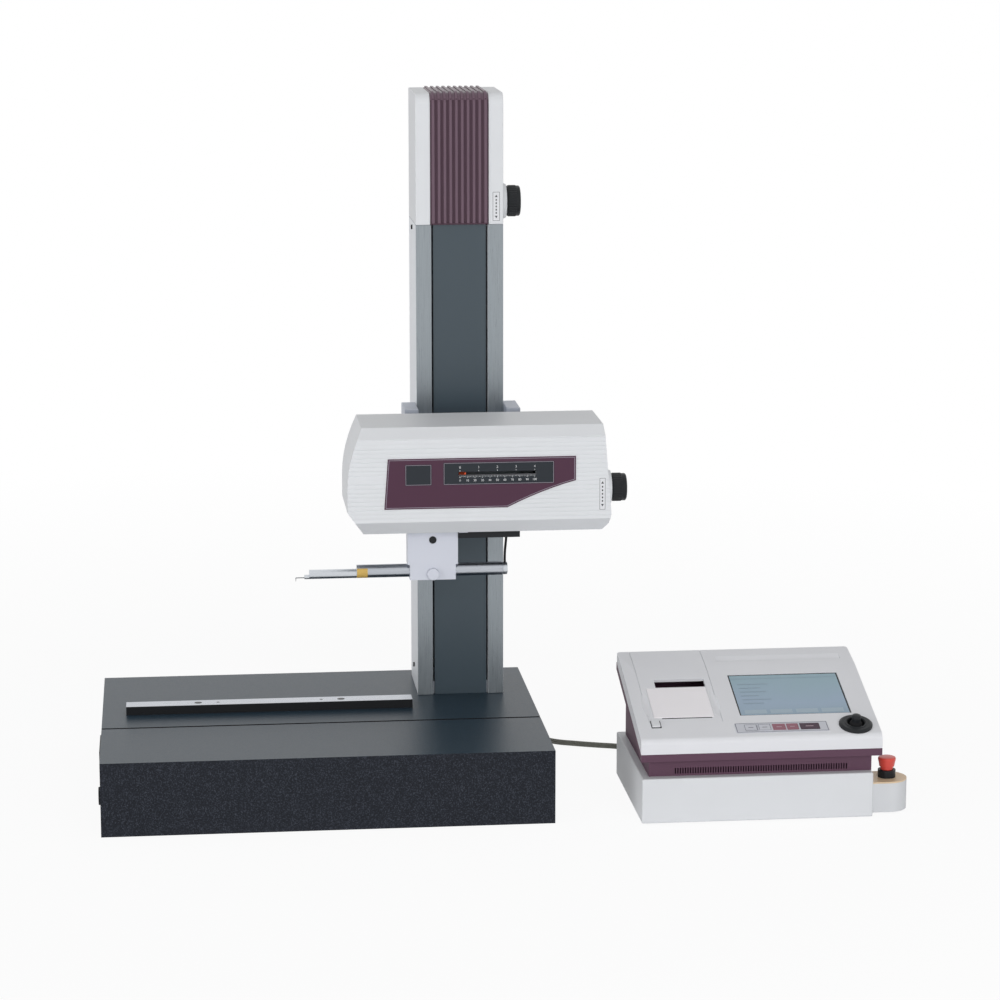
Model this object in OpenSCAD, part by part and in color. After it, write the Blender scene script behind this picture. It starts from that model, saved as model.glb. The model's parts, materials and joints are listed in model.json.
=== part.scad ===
// Surface roughness tester: granite stand with a motor-driven column, traverse unit and
// detector, joined by a link cable to a console on a plinth. Millimetres, +X right, +Z up.
// The origin is the middle of the granite base's underside.

/* [Granite base] */
// Width of the granite base
base_w = 600; // [560:5:640]
// Depth of the granite base
base_d = 450; // [440:5:500]
// Height of the granite base
base_h = 100; // [80:1:130]
// Distance of the cross groove in front of the middle of the base
groove_forward = 53; // [30:1:120]
// Width of the cross groove
groove_w = 5; // [2:0.5:8]
// Depth of the cross groove
groove_depth = 2; // [1:0.5:5]

/* [Alignment bar] */
// Length of the alignment bar
bar_len = 396; // [300:1:400]
// Depth of the alignment bar from front to back
bar_d = 26; // [22:1:36]
// Height of the alignment bar
bar_h = 12; // [10:0.5:18]
// Distance between the two bar screws
bar_screw_pitch = 198; // [150:1:220]
// Distance between the two bar pins
bar_pin_pitch = 143; // [80:1:145]

/* [Column] */
// Middle of the column, right of the middle of the base
col_x = 202.5; // [190:0.5:210]
// Front face of the column, behind the middle of the base
col_front = 80; // [76:1:90]
// Width of the column
col_w = 121; // [116:1:130]
// Depth of the column
col_d = 118; // [112:1:124]
// Height of the column above the base
col_h = 666; // [640:1:760]
// Width of each rail
rail_w = 21.5; // [18:0.5:24]
// Thickness of the front cover strip
strip_t = 4; // [3:0.5:5]
// Slit between a rail and the cover strip
slit_w = 2.4; // [2.2:0.1:3]
// Diameter of the lifting screw
z_screw_d = 20; // [14:1:22]

/* [Head] */
// Height of the head
head_h = 180; // [172:1:220]
// Wall of the head cover
head_wall = 6; // [5:0.5:8]
// Radius of the head's front top edge
head_r = 16; // [10:1:24]
// Width of the ribbed strip
rib_strip_w = 80; // [60:1:90]
// Number of ribs on the strip
rib_count = 10; // [6:1:12]
// Width of each rib
rib_w = 4; // [2:0.5:4.5]
// How far each rib stands out
rib_h = 2; // [1:0.5:4]
// Diameter of the lifting knob
z_knob_d = 42; // [30:1:46]
// Length of the lifting knob
z_knob_len = 19; // [14:1:30]
// Height of the lifting knob's axis above the head's underside
z_knob_rise = 28; // [28:1:34]

/* [Carriage] */
// Width of the carriage
carriage_w = 160; // [156:1:180]
// Height of the carriage
carriage_h = 118; // [100:1:124]
// Height of the carriage's underside above the base
carriage_rise = 298; // [285:1:306]
// Thickness of the carriage's front plate
carriage_t = 39; // [30:1:40]
// How far the carriage's arms reach back along the rails
arm_reach = 24; // [20:1:40]

/* [Traverse unit] */
// Right end of the unit at its top edge
unit_right = 377; // [374:1:382]
// Left end of the unit at its top edge
unit_left = 53; // [48:1:56]
// How far the left end bulges past its top edge
left_bulge = 20; // [14:1:24]
// How far the right end leans out at its foot
right_lean = 10; // [4:1:14]
// Depth of the unit from front to back
unit_d = 123; // [121:1:126]
// Height of the unit
unit_h = 144; // [142:1:150]
// Gap between the unit's back and the carriage
mount_gap = 42; // [36:1:48]
// Wall of the unit's cover
unit_wall = 3; // [2.5:0.5:4]
// Height of the panel's lower edge above the unit's underside
panel_rise = 36; // [34:1:40]
// Height of the panel
panel_h = 68; // [66:1:74]
// Thickness of the panel
panel_t = 0.8; // [0.6:0.1:1.5]
// Length of the scale
scale_len = 100; // [90:1:104]
// Reading at which the pointer rests
scale_reading = 7; // [4:1:12]
// Diameter of the traverse screw
x_screw_d = 12; // [10:1:14]
// Diameter of the traverse knob
x_knob_d = 37; // [28:1:42]
// Length of the traverse knob
x_knob_len = 21; // [14:1:30]

/* [Detector] */
// Width of the detector holder
holder_w = 68; // [56:1:72]
// Depth of the detector holder
holder_d = 24; // [23:0.5:28]
// Height of the detector holder
holder_h = 70; // [66:1:80]
// Diameter of the detector's tube
tube_d = 18; // [14:0.5:18]
// Length of the detector's tube
tube_len = 198; // [180:1:220]
// Diameter of the detector
detector_d = 12.5; // [11:0.5:13]
// Length of the detector in front of its tube
detector_len = 64; // [50:1:80]
// Length of the stylus arm past its pivot
stylus_len = 23; // [20:0.5:30]
// Drop of the stylus tip below its arm
stylus_drop = 5; // [4:0.5:8]

/* [Console] */
// Left edge of the console, right of the middle of the base
console_left = 411.5; // [405:0.5:425]
// Front edge of the console, in front of the middle of the base
console_forward = 245; // [235:1:255]
// Width of the console
console_w = 325; // [322:1:340]
// Depth of the console from front to back
console_d = 234; // [230:1:250]
// Height of the console's front top edge above the bench
console_front_h = 115; // [111:1:122]
// Slope of the console's top
console_slope = 16.2; // [14:0.1:18]
// Thickness of the console's cover, measured straight down
cover_t = 19; // [17:0.5:22]
// Wall of the console's cover
cover_wall = 4; // [4:0.5:5]
// Width of the screen
screen_w = 152; // [130:1:156]
// Depth of the screen along the slope
screen_d = 107; // [90:1:120]
// Width of the printer's lid
lid_w = 82; // [78:1:84]
// Depth of the printer's lid along the slope
lid_d = 78; // [76:1:79]
// Diameter of the joystick's bezel
bezel_d = 45; // [40:1:46]

/* [Plinth] */
// Height of the plinth above the bench
plinth_h = 63; // [59:1:66]
// Wall of the plinth
plinth_wall = 4; // [3:0.5:6]
// Height of the rubber feet
foot_h = 2; // [1.5:0.5:3]
// Diameter of the stop button's pod
pod_d = 54; // [48:1:58]
// Height of the pod above the bench
pod_h = 42; // [38:1:46]
// Diameter of the stop button
stop_d = 24.5; // [20:0.5:30]

/* [Link cable] */
// Diameter of the link cable
cable_d = 8; // [6:0.5:9]

/* [Hidden] */
$fn = 48;

// Gap between pieces that move past each other
run_gap = 0.3;
// Gap around screws, pins, spigots and fitted plates
fit_gap = 0.2;
// How far a cutting shape reaches past the face it cuts
past = 1;

// Alignment bar: its middle, its front face and its fixings
bar_x = -69;
bar_front = 14;
bar_top = base_h + bar_h;
bar_screw_d = 6;
bar_head_d = 10;
bar_head_h = 6;
bar_pin_d = 4;
bar_fixing_depth = 25;

// Side caps: plug in the left side and stop plate at the groove's end
cap_y = -185;
cap_z = 45;
cap_d = 24;
cap_t = 3;
cap_spigot_d = 16;
cap_spigot_len = 20;
stop_plate_len = 85;
stop_plate_h = 20;

// Column
col_left = col_x - col_w / 2;
col_right = col_x + col_w / 2;
col_back = col_front + col_d;
col_top = base_h + col_h;
bay_w = col_w - 2 * rail_w;
strip_recess = 3;
strip_back = col_front + strip_recess + strip_t;
back_t = 12;
foot_t = 18;
screw_y = col_front + 40;
bolt_d = 10;
bolt_head_d = 16;
bolt_depth = 30;
bolt_inset = 14;

// Lifting screw: bearings, journals and mitre gears
bearing_d = 32;
bearing_t = 10;
journal_d = 12;
plate_t = 12;
plate_top = col_top + plate_t;
seat_lower = base_h + foot_t - bearing_t;
seat_upper = plate_top - bearing_t;
knob_z = col_top + z_knob_rise;
gear_r = 13;
gear_gap = 0.5;
gear_face = 7;
shaft_d = 8;
knob_shaft_d = 10;
motor_z = col_top + 76;
motor_w = 57;
motor_h = 76;
motor_bore = 16;
bracket_t = 6;
bracket_plate_t = 8;

// Head cover and knob boss
strip_depth = 3;
boss_len = 7.5;
boss_d = 46;
boss_flare = 8;

// Carriage and nut
carriage_back = col_front - run_gap;
carriage_face = carriage_back - carriage_t;
carriage_z = base_h + carriage_rise;
plate_drop = 16;
pad_gap = 0.15;
pad_t = 6;
pad_h = 30;
pad_d = 16;
pad_inset = 6;
nut_h = 40;
nut_half = 14;
nut_z = carriage_z + 38;
nut_side_gap = 0.5;

// Traverse unit
unit_back = carriage_face - mount_gap;
unit_front = unit_back - unit_d;
unit_z = carriage_z - 24;
unit_top = unit_z + unit_h;
top_bevel = [15, 13.5];
foot_bevel = [15, 18];
bulge_z = unit_z + 62;
bulge_steps = 6;
left_foot = [[0, 32], [10, 18], [22, 0]];
right_foot = [[0, 24], [-3, 10], [-11, 0]];
frame_t = 6;
mount_w = 104;
mount_h = 90;

// Traverse drive, inside the unit
x_axis_y = unit_front + 39;
x_axis_z = unit_z + 53;
x_journal_d = 8;
x_motor_w = 42;
x_motor_len = 40;
end_plate_t = 5;
left_plate = unit_left + 33;
right_plate = unit_right - 21;
beam_z = unit_z + 66;
beam_t = 12;
beam_front = unit_back - 58;
x_rail_w = 15;
x_rail_h = 12;
x_rail_y = unit_back - 40;
x_boss_d = 46;
x_boss_start = unit_right + 5;
x_boss_end = unit_right + right_lean + 3;

// Scale on the front panel
scale_x = 183;
slit_h = 5;
slit_z = unit_z + 83;
pointer_x = scale_x + scale_reading;
pointer_t = 2;
window_t = 0.6;
panel_z = unit_z + panel_rise;

// Slider and detector
slider_x = pointer_x - 40;
slider_w = 60;
slider_front = unit_front + 26;
slider_z = unit_z + 8;
det_y = unit_front + 54;
neck_w = 12;
neck_end = slider_x + 118;
travel_out = scale_reading;
travel_in = scale_len - scale_reading;
holder_top = unit_z - 0.5;
holder_z = holder_top - holder_h;
clamp_h = 21;
bar_drop = 13;
slider_bar_w = 28;
tube_z = holder_z + 11.5;
tube_x = slider_x - 102.5;
tube_end = tube_x + tube_len;
end_cap_len = 6.5;
end_cap_d = tube_d - 1;
tip_x = tube_x - detector_len;
detector_z = tube_z - (tube_d - detector_d) / 2;
spigot_d = 8;
spigot_len = 28;
nose_d = 6;
nose_len = 6.5;
pivot_x = tip_x + 5;
pivot_z = detector_z - 4.4;
pivot_d = 1.6;
pivot_len = 6.4;
stylus_d = 1.2;
stylus_slot_w = 2.4;
stylus_slot_up = 1.6;
stylus_slot_down = 4;
lead_d = 3.4;

// Places of the holder's socket screw and of its clamp knob, on the holder's front face
holder_screw_d = 5;
holder_head_d = 10;
holder_head_h = 5;
holder_screw_z = holder_z + 55;
clamp_d = 16;
clamp_len = 6;
clamp_stem_d = 5;
clamp_z = tube_z - 3;

// Console, in its sloping frame and under it
plinth_x0 = console_left + 1.5;
plinth_right_inset = 11.5;
plinth_x1 = console_left + console_w - plinth_right_inset;
plinth_y0 = -console_forward - 2;
plinth_y1 = -console_forward + console_d + 4;
floor_t = 3;
supply_size = [170, 100, 38];
supply_inset = [40, 70];
slope_len = console_d / cos(console_slope);
cover_depth = cover_t * cos(console_slope);
rim_front = console_front_h - cover_t;
lip_h = 10;
case_inset = 12;
case_wall = 3;
case_front = -console_forward + 11;
case_back = -console_forward + console_d - 11;
vent_pitch = 3.4;
vent_w = 1.7;
vent_h = 8;
vent_x0 = 47;
vent_x1 = 280;
screen_x = 142.5;
screen_s = 58;
screen_flange = 4;
lid_x = 25.5;
lid_s = 57;
lid_axis_s = lid_s + 2.5;
lid_pin_d = 2;
lid_pin_len = 3;
slot_x = 39;
tear_bar = 1;
slot_s = lid_s + lid_d + tear_bar;
slot_w = 69;
slot_d = 21;
key_x = 130.5;
key_s = 13;
stick_x = 293.5;
stick_s = 26;
stick_pivot = 6;
stick_pin_d = 2.6;
cup_d = 30;
cup_wall = 3;
cup_depth = 18;
gimbal_d = 20;
gimbal_bore = 14;
gimbal_t = 6;
tray_depth = 54;
tray_wall = 2;
roll_d = 40;
standoff_h = 7;
board_z = plinth_h + case_wall + standoff_h;
board_inset = 14;

// Latch beside the lid: a tab on a stem that slides in a slot, with a keeper under the cover
latch_at = [25, 41.5];
latch_tab = [11, 17, 2.7];
latch_stem = [4, 5];
latch_travel = 3;
keeper_t = 2;

// Stop button on its pod
stop_x = plinth_x1 + 28;
stop_y = -console_forward + 43;
stop_plate_t = 2;
collar_h = 10.5;
collar_d = 24;
collar_bore = 18;
collar_stem_d = 22;
collar_stem_len = 14;
stop_rise = 16;
stop_z = pod_h + stop_plate_t;

// Link cable: its route from the column's gland to the plug behind the plinth
link_route = [
  [200, 223, 150], [200, 233, 150], [200, 253, 145], [200, 268, 130], [200, 273, 110],
  [200, 273, 80], [200, 273, 50], [195, 273, 25], [180, 273, 10], [160, 273, 5],
  [130, 273, 5], [100, 273, 5], [81, 278, 5], [67, 292, 5], [62, 311, 5], [67, 330, 5],
  [81, 344, 5], [100, 349, 5], [130, 349, 5], [160, 347, 5], [190, 342, 5],
  [220, 332, 5], [247, 317, 5], [270, 298, 5], [289, 275, 5], [302, 250, 5],
  [311, 224, 5], [318, 199, 5], [329, 175, 5], [347, 156, 5], [374, 143, 5],
  [403, 131.5, 5], [433, 121, 5], [460, 107, 5], [483, 86, 6], [500, 61, 10],
  [507, 45, 13], [509, 33, 14], [509, 23, 14]
];
cable_start = link_route[0];
cable_end = link_route[len(link_route) - 1];
gland_d = 24;
gland_flange = 4;
gland_spigot_d = 14;
plug_d = 18;

// Detector lead: from the tube's end cap up to the slider's bar, as offsets from the cap's top
lead_route = [
  [0, 0, 0], [0, 0, 4], [0, 0, 9], [0.3, 0, 15], [0.8, 0, 21], [1.4, 0, 27],
  [1.8, 0, 33], [2, 0, 38], [2, 0, 42]
];

// Box from its lowest corner to its highest
module box(lo, hi) {
  translate(lo) cube(hi - lo);
}

// Round bars along X, Y and Z from a starting point
module rod_x(at, length, d) {
  translate(at) rotate([0, 90, 0]) cylinder(h = length, d = d);
}

module rod_y(at, length, d) {
  translate(at) rotate([-90, 0, 0]) cylinder(h = length, d = d);
}

module rod_z(at, length, d) {
  translate(at) cylinder(h = length, d = d);
}

// Side view drawn in Y and Z, drawn out along X
module side_extrude(x0, x1) {
  translate([x0, 0, 0]) rotate([90, 0, 90]) linear_extrude(x1 - x0) children();
}

// Front view drawn in X and Z, drawn out along Y
module front_extrude(y0, y1) {
  translate([0, y1, 0]) rotate([90, 0, 0]) linear_extrude(y1 - y0) children();
}

// Tube swept along a list of points: each ring is square to the run of its neighbours, and
// its side direction is carried on from the ring before it, so that the tube doesn't twist
function unit(v) = v / norm(v);
function heading(route, i) =
  unit(route[min(i + 1, len(route) - 1)] - route[max(i - 1, 0)]);
function carried_sides(route, i, side) =
  i == len(route) ? [] :
  let (run = heading(route, i), u = unit(side - (side * run) * run))
  concat([u], carried_sides(route, i + 1, u));
function ring(at, run, u, r, sides) =
  let (v = cross(u, run))
  [for (k = [0 : sides - 1]) at + r * (cos(360 * k / sides) * u + sin(360 * k / sides) * v)];

module swept_tube(route, d, sides, first_side) {
  last = len(route) - 1;
  turned = carried_sides(route, 0, first_side);
  rings = [
    for (i = [0 : last]) each ring(route[i], heading(route, i), turned[i], d / 2, sides)
  ];
  walls = [
    for (i = [0 : last - 1], k = [0 : sides - 1])
      let (n = (k + 1) % sides)
      [i * sides + k, i * sides + n, (i + 1) * sides + n, (i + 1) * sides + k]
  ];
  caps = [
    [for (k = [sides - 1 : -1 : 0]) k],
    [for (k = [0 : sides - 1]) last * sides + k]
  ];
  polyhedron(points = rings, faces = concat(walls, caps));
}

// Places of the stand's fixings
module at_bar(pitch) {
  for (side = [-1, 1])
    translate([bar_x + side * pitch / 2, bar_front + bar_d / 2, 0]) children();
}

module at_foot_bolts() {
  for (side = [-1, 1])
    for (y = [strip_back + bolt_inset, col_back - back_t - bolt_inset])
      translate([col_x + side * (bay_w / 2 - bolt_inset), y, 0]) children();
}

module granite_base() {
  color("#303439") difference() {
    box([-base_w / 2, -base_d / 2, 0], [base_w / 2, base_d / 2, base_h]);
    box(
      [-base_w / 2 - past, -groove_forward - groove_w / 2, base_h - groove_depth],
      [base_w / 2 + past, -groove_forward + groove_w / 2, base_h + past]
    );
    at_bar(bar_screw_pitch)
      rod_z([0, 0, base_h - bar_fixing_depth], bar_fixing_depth + past, bar_screw_d + 2 * fit_gap);
    at_bar(bar_pin_pitch)
      rod_z([0, 0, base_h - bar_fixing_depth], bar_fixing_depth + past, bar_pin_d + 2 * fit_gap);
    at_foot_bolts()
      rod_z([0, 0, base_h - bolt_depth - past], bolt_depth + 2 * past, bolt_d + 2 * fit_gap);
    rod_x(
      [-base_w / 2 - past, cap_y, cap_z],
      cap_spigot_len + 2 * past,
      cap_spigot_d + 2 * fit_gap
    );
  }
}

module side_caps() {
  color("#17181a") {
    rod_x([-base_w / 2 - cap_t, cap_y, cap_z], cap_t, cap_d);
    rod_x([-base_w / 2 - cap_t, cap_y, cap_z], cap_t + cap_spigot_len, cap_spigot_d);
    box(
      [-base_w / 2 - cap_t, -groove_forward - stop_plate_len / 2, base_h - 2 * stop_plate_h],
      [-base_w / 2, -groove_forward + stop_plate_len / 2, base_h - stop_plate_h]
    );
  }
}

module alignment_bar() {
  color("#b9bcc0") difference() {
    box(
      [bar_x - bar_len / 2, bar_front, base_h],
      [bar_x + bar_len / 2, bar_front + bar_d, bar_top]
    );
    at_bar(bar_screw_pitch) {
      rod_z([0, 0, base_h - past], bar_h + 2 * past, bar_screw_d + 2 * fit_gap);
      rod_z([0, 0, bar_top - bar_head_h], bar_head_h + past, bar_head_d + 2 * fit_gap);
    }
    at_bar(bar_pin_pitch)
      rod_z([0, 0, base_h - past], bar_h + 2 * past, bar_pin_d + 2 * fit_gap);
  }
}

module stand_screws() {
  color("#26282b") {
    at_bar(bar_screw_pitch) {
      rod_z([0, 0, bar_top - bar_head_h], bar_head_h, bar_head_d);
      rod_z([0, 0, base_h - bar_fixing_depth], bar_fixing_depth + bar_h - bar_head_h, bar_screw_d);
    }
    at_bar(bar_pin_pitch)
      rod_z([0, 0, base_h - bar_fixing_depth], bar_fixing_depth + bar_h, bar_pin_d);
    at_foot_bolts() {
      rod_z([0, 0, base_h + foot_t], bolt_d, bolt_head_d);
      rod_z([0, 0, base_h - bolt_depth], bolt_depth + foot_t, bolt_d);
    }
  }
}

module column_rail(x0) {
  color("#a9afb4")
    box([x0, col_front, base_h], [x0 + rail_w, col_back, col_top]);
}

module column_rail_left() {
  column_rail(col_left);
}

module column_rail_right() {
  column_rail(col_right - rail_w);
}

module column_cover() {
  color("#46525a")
    box(
      [col_x - bay_w / 2 + slit_w, strip_back - strip_t, base_h],
      [col_x + bay_w / 2 - slit_w, strip_back, col_top]
    );
}

module column_back() {
  color("#8e959b") difference() {
    box(
      [col_x - bay_w / 2, col_back - back_t, base_h],
      [col_x + bay_w / 2, col_back, col_top]
    );
    rod_y(
      [cable_start[0], col_back - back_t - past, cable_start[2]],
      back_t + 2 * past,
      gland_spigot_d + 2 * fit_gap
    );
  }
}

module column_foot() {
  color("#7d848a") difference() {
    box(
      [col_x - bay_w / 2, strip_back, base_h],
      [col_x + bay_w / 2, col_back - back_t, base_h + foot_t]
    );
    rod_z([col_x, screw_y, seat_lower], bearing_t + past, bearing_d + 2 * fit_gap);
    at_foot_bolts()
      rod_z([0, 0, base_h - past], foot_t + 2 * past, bolt_d + 2 * fit_gap);
  }
}

module head_plate() {
  rim = head_wall + fit_gap;
  color("#8a9096") difference() {
    box(
      [col_left + rim, col_front + rim, col_top],
      [col_right - rim, col_back - rim, plate_top]
    );
    rod_z([col_x, screw_y, seat_upper], bearing_t + past, bearing_d + 2 * fit_gap);
    rod_z([col_x, screw_y, col_top - past], plate_t + 2 * past, journal_d + 4 * run_gap);
  }
}

// Ball bearings of the lifting screw, each one ring with its balls left out
module z_bearings() {
  color("#c9ccd0")
    for (z = [seat_lower, seat_upper])
      difference() {
        rod_z([col_x, screw_y, z], bearing_t, bearing_d);
        rod_z([col_x, screw_y, z - past], bearing_t + 2 * past, journal_d + 2 * run_gap);
      }
}

// Mitre gear blank on the Z axis with its cone's point at the origin
module mitre_gear() {
  translate([0, 0, -gear_r])
    cylinder(h = gear_face, r1 = gear_r - gear_gap, r2 = gear_r - gear_gap - gear_face);
}

module z_screw() {
  thread_start = base_h + foot_t + past;
  thread_end = col_top - past;
  color("#b4b8bc") {
    rod_z([col_x, screw_y, seat_lower + run_gap], thread_start - seat_lower - run_gap, journal_d);
    rod_z([col_x, screw_y, thread_start], thread_end - thread_start, z_screw_d);
    rod_z([col_x, screw_y, thread_end], knob_z - gear_r - thread_end, journal_d);
    translate([col_x, screw_y, knob_z]) mitre_gear();
    rod_z([col_x, screw_y, knob_z - gear_r], motor_z + motor_bore - knob_z + gear_r - past, shaft_d);
  }
}

// Knob with softened ends, standing on its lower face
module knob(d, length) {
  edge = 1.5;
  cylinder(h = edge, d1 = d - 2 * edge, d2 = d);
  translate([0, 0, edge]) cylinder(h = length - 2 * edge, d = d);
  translate([0, 0, length - edge]) cylinder(h = edge, d1 = d, d2 = d - 2 * edge);
}

module z_knob() {
  knob_x = col_right + boss_len + run_gap;
  color("#25272a") {
    translate([knob_x, screw_y, knob_z]) rotate([0, 90, 0]) knob(z_knob_d, z_knob_len);
    rod_x([col_x + gear_r, screw_y, knob_z], knob_x - col_x - gear_r + past, knob_shaft_d);
    translate([col_x, screw_y, knob_z]) rotate([0, -90, 0]) mitre_gear();
  }
}

module motor_bracket() {
  half_w = bay_w / 2;
  front = screw_y - motor_w / 2;
  rear = screw_y + motor_w / 2;
  color("#9aa0a5") difference() {
    union() {
      box(
        [col_x - half_w, front, motor_z - bracket_plate_t],
        [col_x + half_w, rear, motor_z]
      );
      for (x = [col_x - half_w, col_x + half_w - bracket_t])
        box([x, front, plate_top], [x + bracket_t, rear, motor_z]);
    }
    rod_z([col_x, screw_y, plate_top], motor_z - plate_top + past, 2 * gear_r);
    rod_x([col_x, screw_y, knob_z], half_w + past, knob_shaft_d + 4 * run_gap);
  }
}

module z_motor() {
  color("#2b2d30") difference() {
    box(
      [col_x - motor_w / 2, screw_y - motor_w / 2, motor_z],
      [col_x + motor_w / 2, screw_y + motor_w / 2, motor_z + motor_h]
    );
    rod_z([col_x, screw_y, motor_z - past], motor_bore + past, shaft_d + 2 * run_gap);
  }
}

// Side view of the head, grown by an amount on its front and top, with its edge rounded
module head_side(grow, low, back) {
  front = col_front - grow;
  high = col_top + head_h + grow;
  r = head_r + grow;
  translate([front, low]) square([back - front, high - r - low]);
  translate([front + r, low]) square([back - front - r, high - low]);
  translate([front + r, high - r]) circle(r);
}

module head_cover() {
  strip_half = rib_strip_w / 2 + fit_gap;
  color("#dcdee0") difference() {
    union() {
      side_extrude(col_left, col_right) head_side(0, col_top, col_back);
      translate([col_right, screw_y, knob_z]) rotate([0, 90, 0])
        cylinder(h = boss_len, d1 = boss_d + boss_flare, d2 = boss_d);
    }
    side_extrude(col_left + head_wall, col_right - head_wall)
      head_side(-head_wall, col_top - past, col_back - head_wall);
    side_extrude(col_x - strip_half, col_x + strip_half) difference() {
      head_side(past, col_top - past, col_back + past);
      head_side(-strip_depth, col_top - 2 * past, col_back + 2 * past);
    }
    rod_x([col_x, screw_y, knob_z], col_w, knob_shaft_d + 2 * run_gap);
  }
}

module head_rib_strip() {
  rib_pitch = rib_strip_w / rib_count;
  color("#5d4352") {
    side_extrude(col_x - rib_strip_w / 2, col_x + rib_strip_w / 2) difference() {
      head_side(0, col_top, col_back);
      head_side(-strip_depth, col_top - past, col_back + past);
    }
    for (i = [0 : rib_count - 1]) {
      middle = col_x - rib_strip_w / 2 + (i + 0.5) * rib_pitch;
      side_extrude(middle - rib_w / 2, middle + rib_w / 2) difference() {
        head_side(rib_h, col_top, col_back);
        head_side(0, col_top - past, col_back + past);
      }
    }
  }
}

module z_nut() {
  half_w = bay_w / 2 - nut_side_gap;
  arm_t = slit_w - 2 * nut_side_gap;
  color("#b08a4a") difference() {
    union() {
      box(
        [col_x - half_w, screw_y - nut_half, nut_z],
        [col_x + half_w, screw_y + nut_half, nut_z + nut_h]
      );
      for (x = [col_x - half_w, col_x + half_w - arm_t])
        box([x, carriage_back, nut_z], [x + arm_t, screw_y, nut_z + nut_h]);
    }
    rod_z([col_x, screw_y, nut_z - past], nut_h + 2 * past, z_screw_d + 2 * run_gap);
  }
}

// Guide pads let into the carriage's arms, two to a side, each grown by an amount
module pads(grow) {
  for (side = [-1, 1])
    for (z = [carriage_z + pad_inset, carriage_z + carriage_h - pad_inset - pad_h])
      translate([col_x + side * (col_w / 2 + pad_gap + pad_t / 2), 0, 0])
        box(
          [-pad_t / 2, col_front + 2 - grow, z - grow],
          [pad_t / 2, col_front + 2 + pad_d + grow, z + pad_h + grow]
        );
}

module carriage() {
  half_w = carriage_w / 2;
  color("#8e95a0") difference() {
    union() {
      box(
        [col_x - half_w, carriage_face, carriage_z],
        [col_x + half_w, carriage_back, carriage_z + carriage_h]
      );
      box(
        [col_x - half_w, carriage_back, carriage_z],
        [col_x - col_w / 2 - run_gap, col_front + arm_reach, carriage_z + carriage_h]
      );
      box(
        [col_x + col_w / 2 + run_gap, carriage_back, carriage_z],
        [col_x + half_w, col_front + arm_reach, carriage_z + carriage_h]
      );
      box(
        [col_x - mount_w / 2, unit_back, carriage_z + pad_inset],
        [col_x + mount_w / 2, carriage_face, carriage_z + pad_inset + mount_h]
      );
    }
    pads(fit_gap);
    box(
      [col_left - run_gap, carriage_face - past, carriage_z + carriage_h - plate_drop],
      [col_right + run_gap, carriage_back + past, carriage_z + carriage_h + past]
    );
  }
}

module guide_pads() {
  color("#c8a45a") pads(0);
}

// Outlines of the traverse unit, drawn inside its surface by an amount
module unit_side(inside, back) {
  front = unit_front + inside;
  low = unit_z + inside;
  high = unit_top - inside;
  polygon([
    [back, low], [back, high], [front + top_bevel[0], high], [front, high - top_bevel[1]],
    [front, low + foot_bevel[1]], [front + foot_bevel[0], low]
  ]);
}

function unit_outline(inside) =
  let (low = unit_z + inside, high = unit_top - inside)
  let (left = unit_left - left_bulge + inside, right = unit_right + right_lean - inside)
  concat(
    [
      for (i = [0 : bulge_steps])
        let (t = i / bulge_steps)
        [left + left_bulge * (1 - t) * (1 - t), high + t * (bulge_z - high)]
    ],
    [for (p = left_foot) [left + p[0], low + p[1]]],
    [for (i = [len(right_foot) - 1 : -1 : 0]) [right + right_foot[i][0], low + right_foot[i][1]]],
    [[unit_right - inside, high]]
  );

module unit_front_view(inside) {
  polygon(unit_outline(inside));
}

module slit_cut() {
  box(
    [scale_x - pointer_t, unit_front - panel_t - window_t - past, slit_z - slit_h / 2],
    [scale_x + scale_len + pointer_t, unit_front + unit_wall + past, slit_z + slit_h / 2]
  );
}

module drive_cover() {
  slot_half = neck_w / 2 + past;
  color("#d9dbdd") difference() {
    union() {
      difference() {
        intersection() {
          side_extrude(0, unit_right + 2 * right_lean) unit_side(0, unit_back);
          front_extrude(unit_front - past, unit_back + past) unit_front_view(0);
        }
        intersection() {
          side_extrude(0, unit_right + 2 * right_lean) unit_side(unit_wall, unit_back + past);
          front_extrude(unit_front - past, unit_back + 2 * past) unit_front_view(unit_wall);
        }
      }
      rod_x([x_boss_start, x_axis_y, x_axis_z], x_boss_end - x_boss_start, x_boss_d);
    }
    box(
      [slider_x - slider_w / 2 - travel_out, det_y - slot_half, unit_z - past],
      [neck_end + travel_in + 2 * past, det_y + slot_half, unit_z + unit_wall + past]
    );
    slit_cut();
    rod_x([right_plate, x_axis_y, x_axis_z], x_boss_end, x_journal_d + 2 * run_gap);
  }
}

// Panel with its lower right side swept up in a shallow curve
module front_panel() {
  left = unit_left + 29;
  right = unit_right - 38.5;
  high = panel_z + panel_h;
  run = 92;
  rise = 35;
  bow = 0.3;
  sweep = [
    for (i = [0 : bulge_steps])
      let (t = i / bulge_steps)
      [right - run * t, panel_z + rise * (1 - (1 - bow) * t - bow * t * t)]
  ];
  color("#5a3348") difference() {
    front_extrude(unit_front - panel_t, unit_front)
      polygon(concat([[left, panel_z], [left + 5, high], [right, high]], sweep));
    slit_cut();
  }
}

// Black square window and the scale's window on the panel
module panel_windows() {
  low = slit_z - 15;
  color("#141519") difference() {
    union() {
      box(
        [scale_x - 73, unit_front - panel_t - window_t, low],
        [scale_x - 38, unit_front - panel_t, low + 28]
      );
      box(
        [scale_x - 22, unit_front - panel_t - window_t, low],
        [scale_x + scale_len + 26, unit_front - panel_t, low + 30]
      );
    }
    slit_cut();
  }
}

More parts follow.
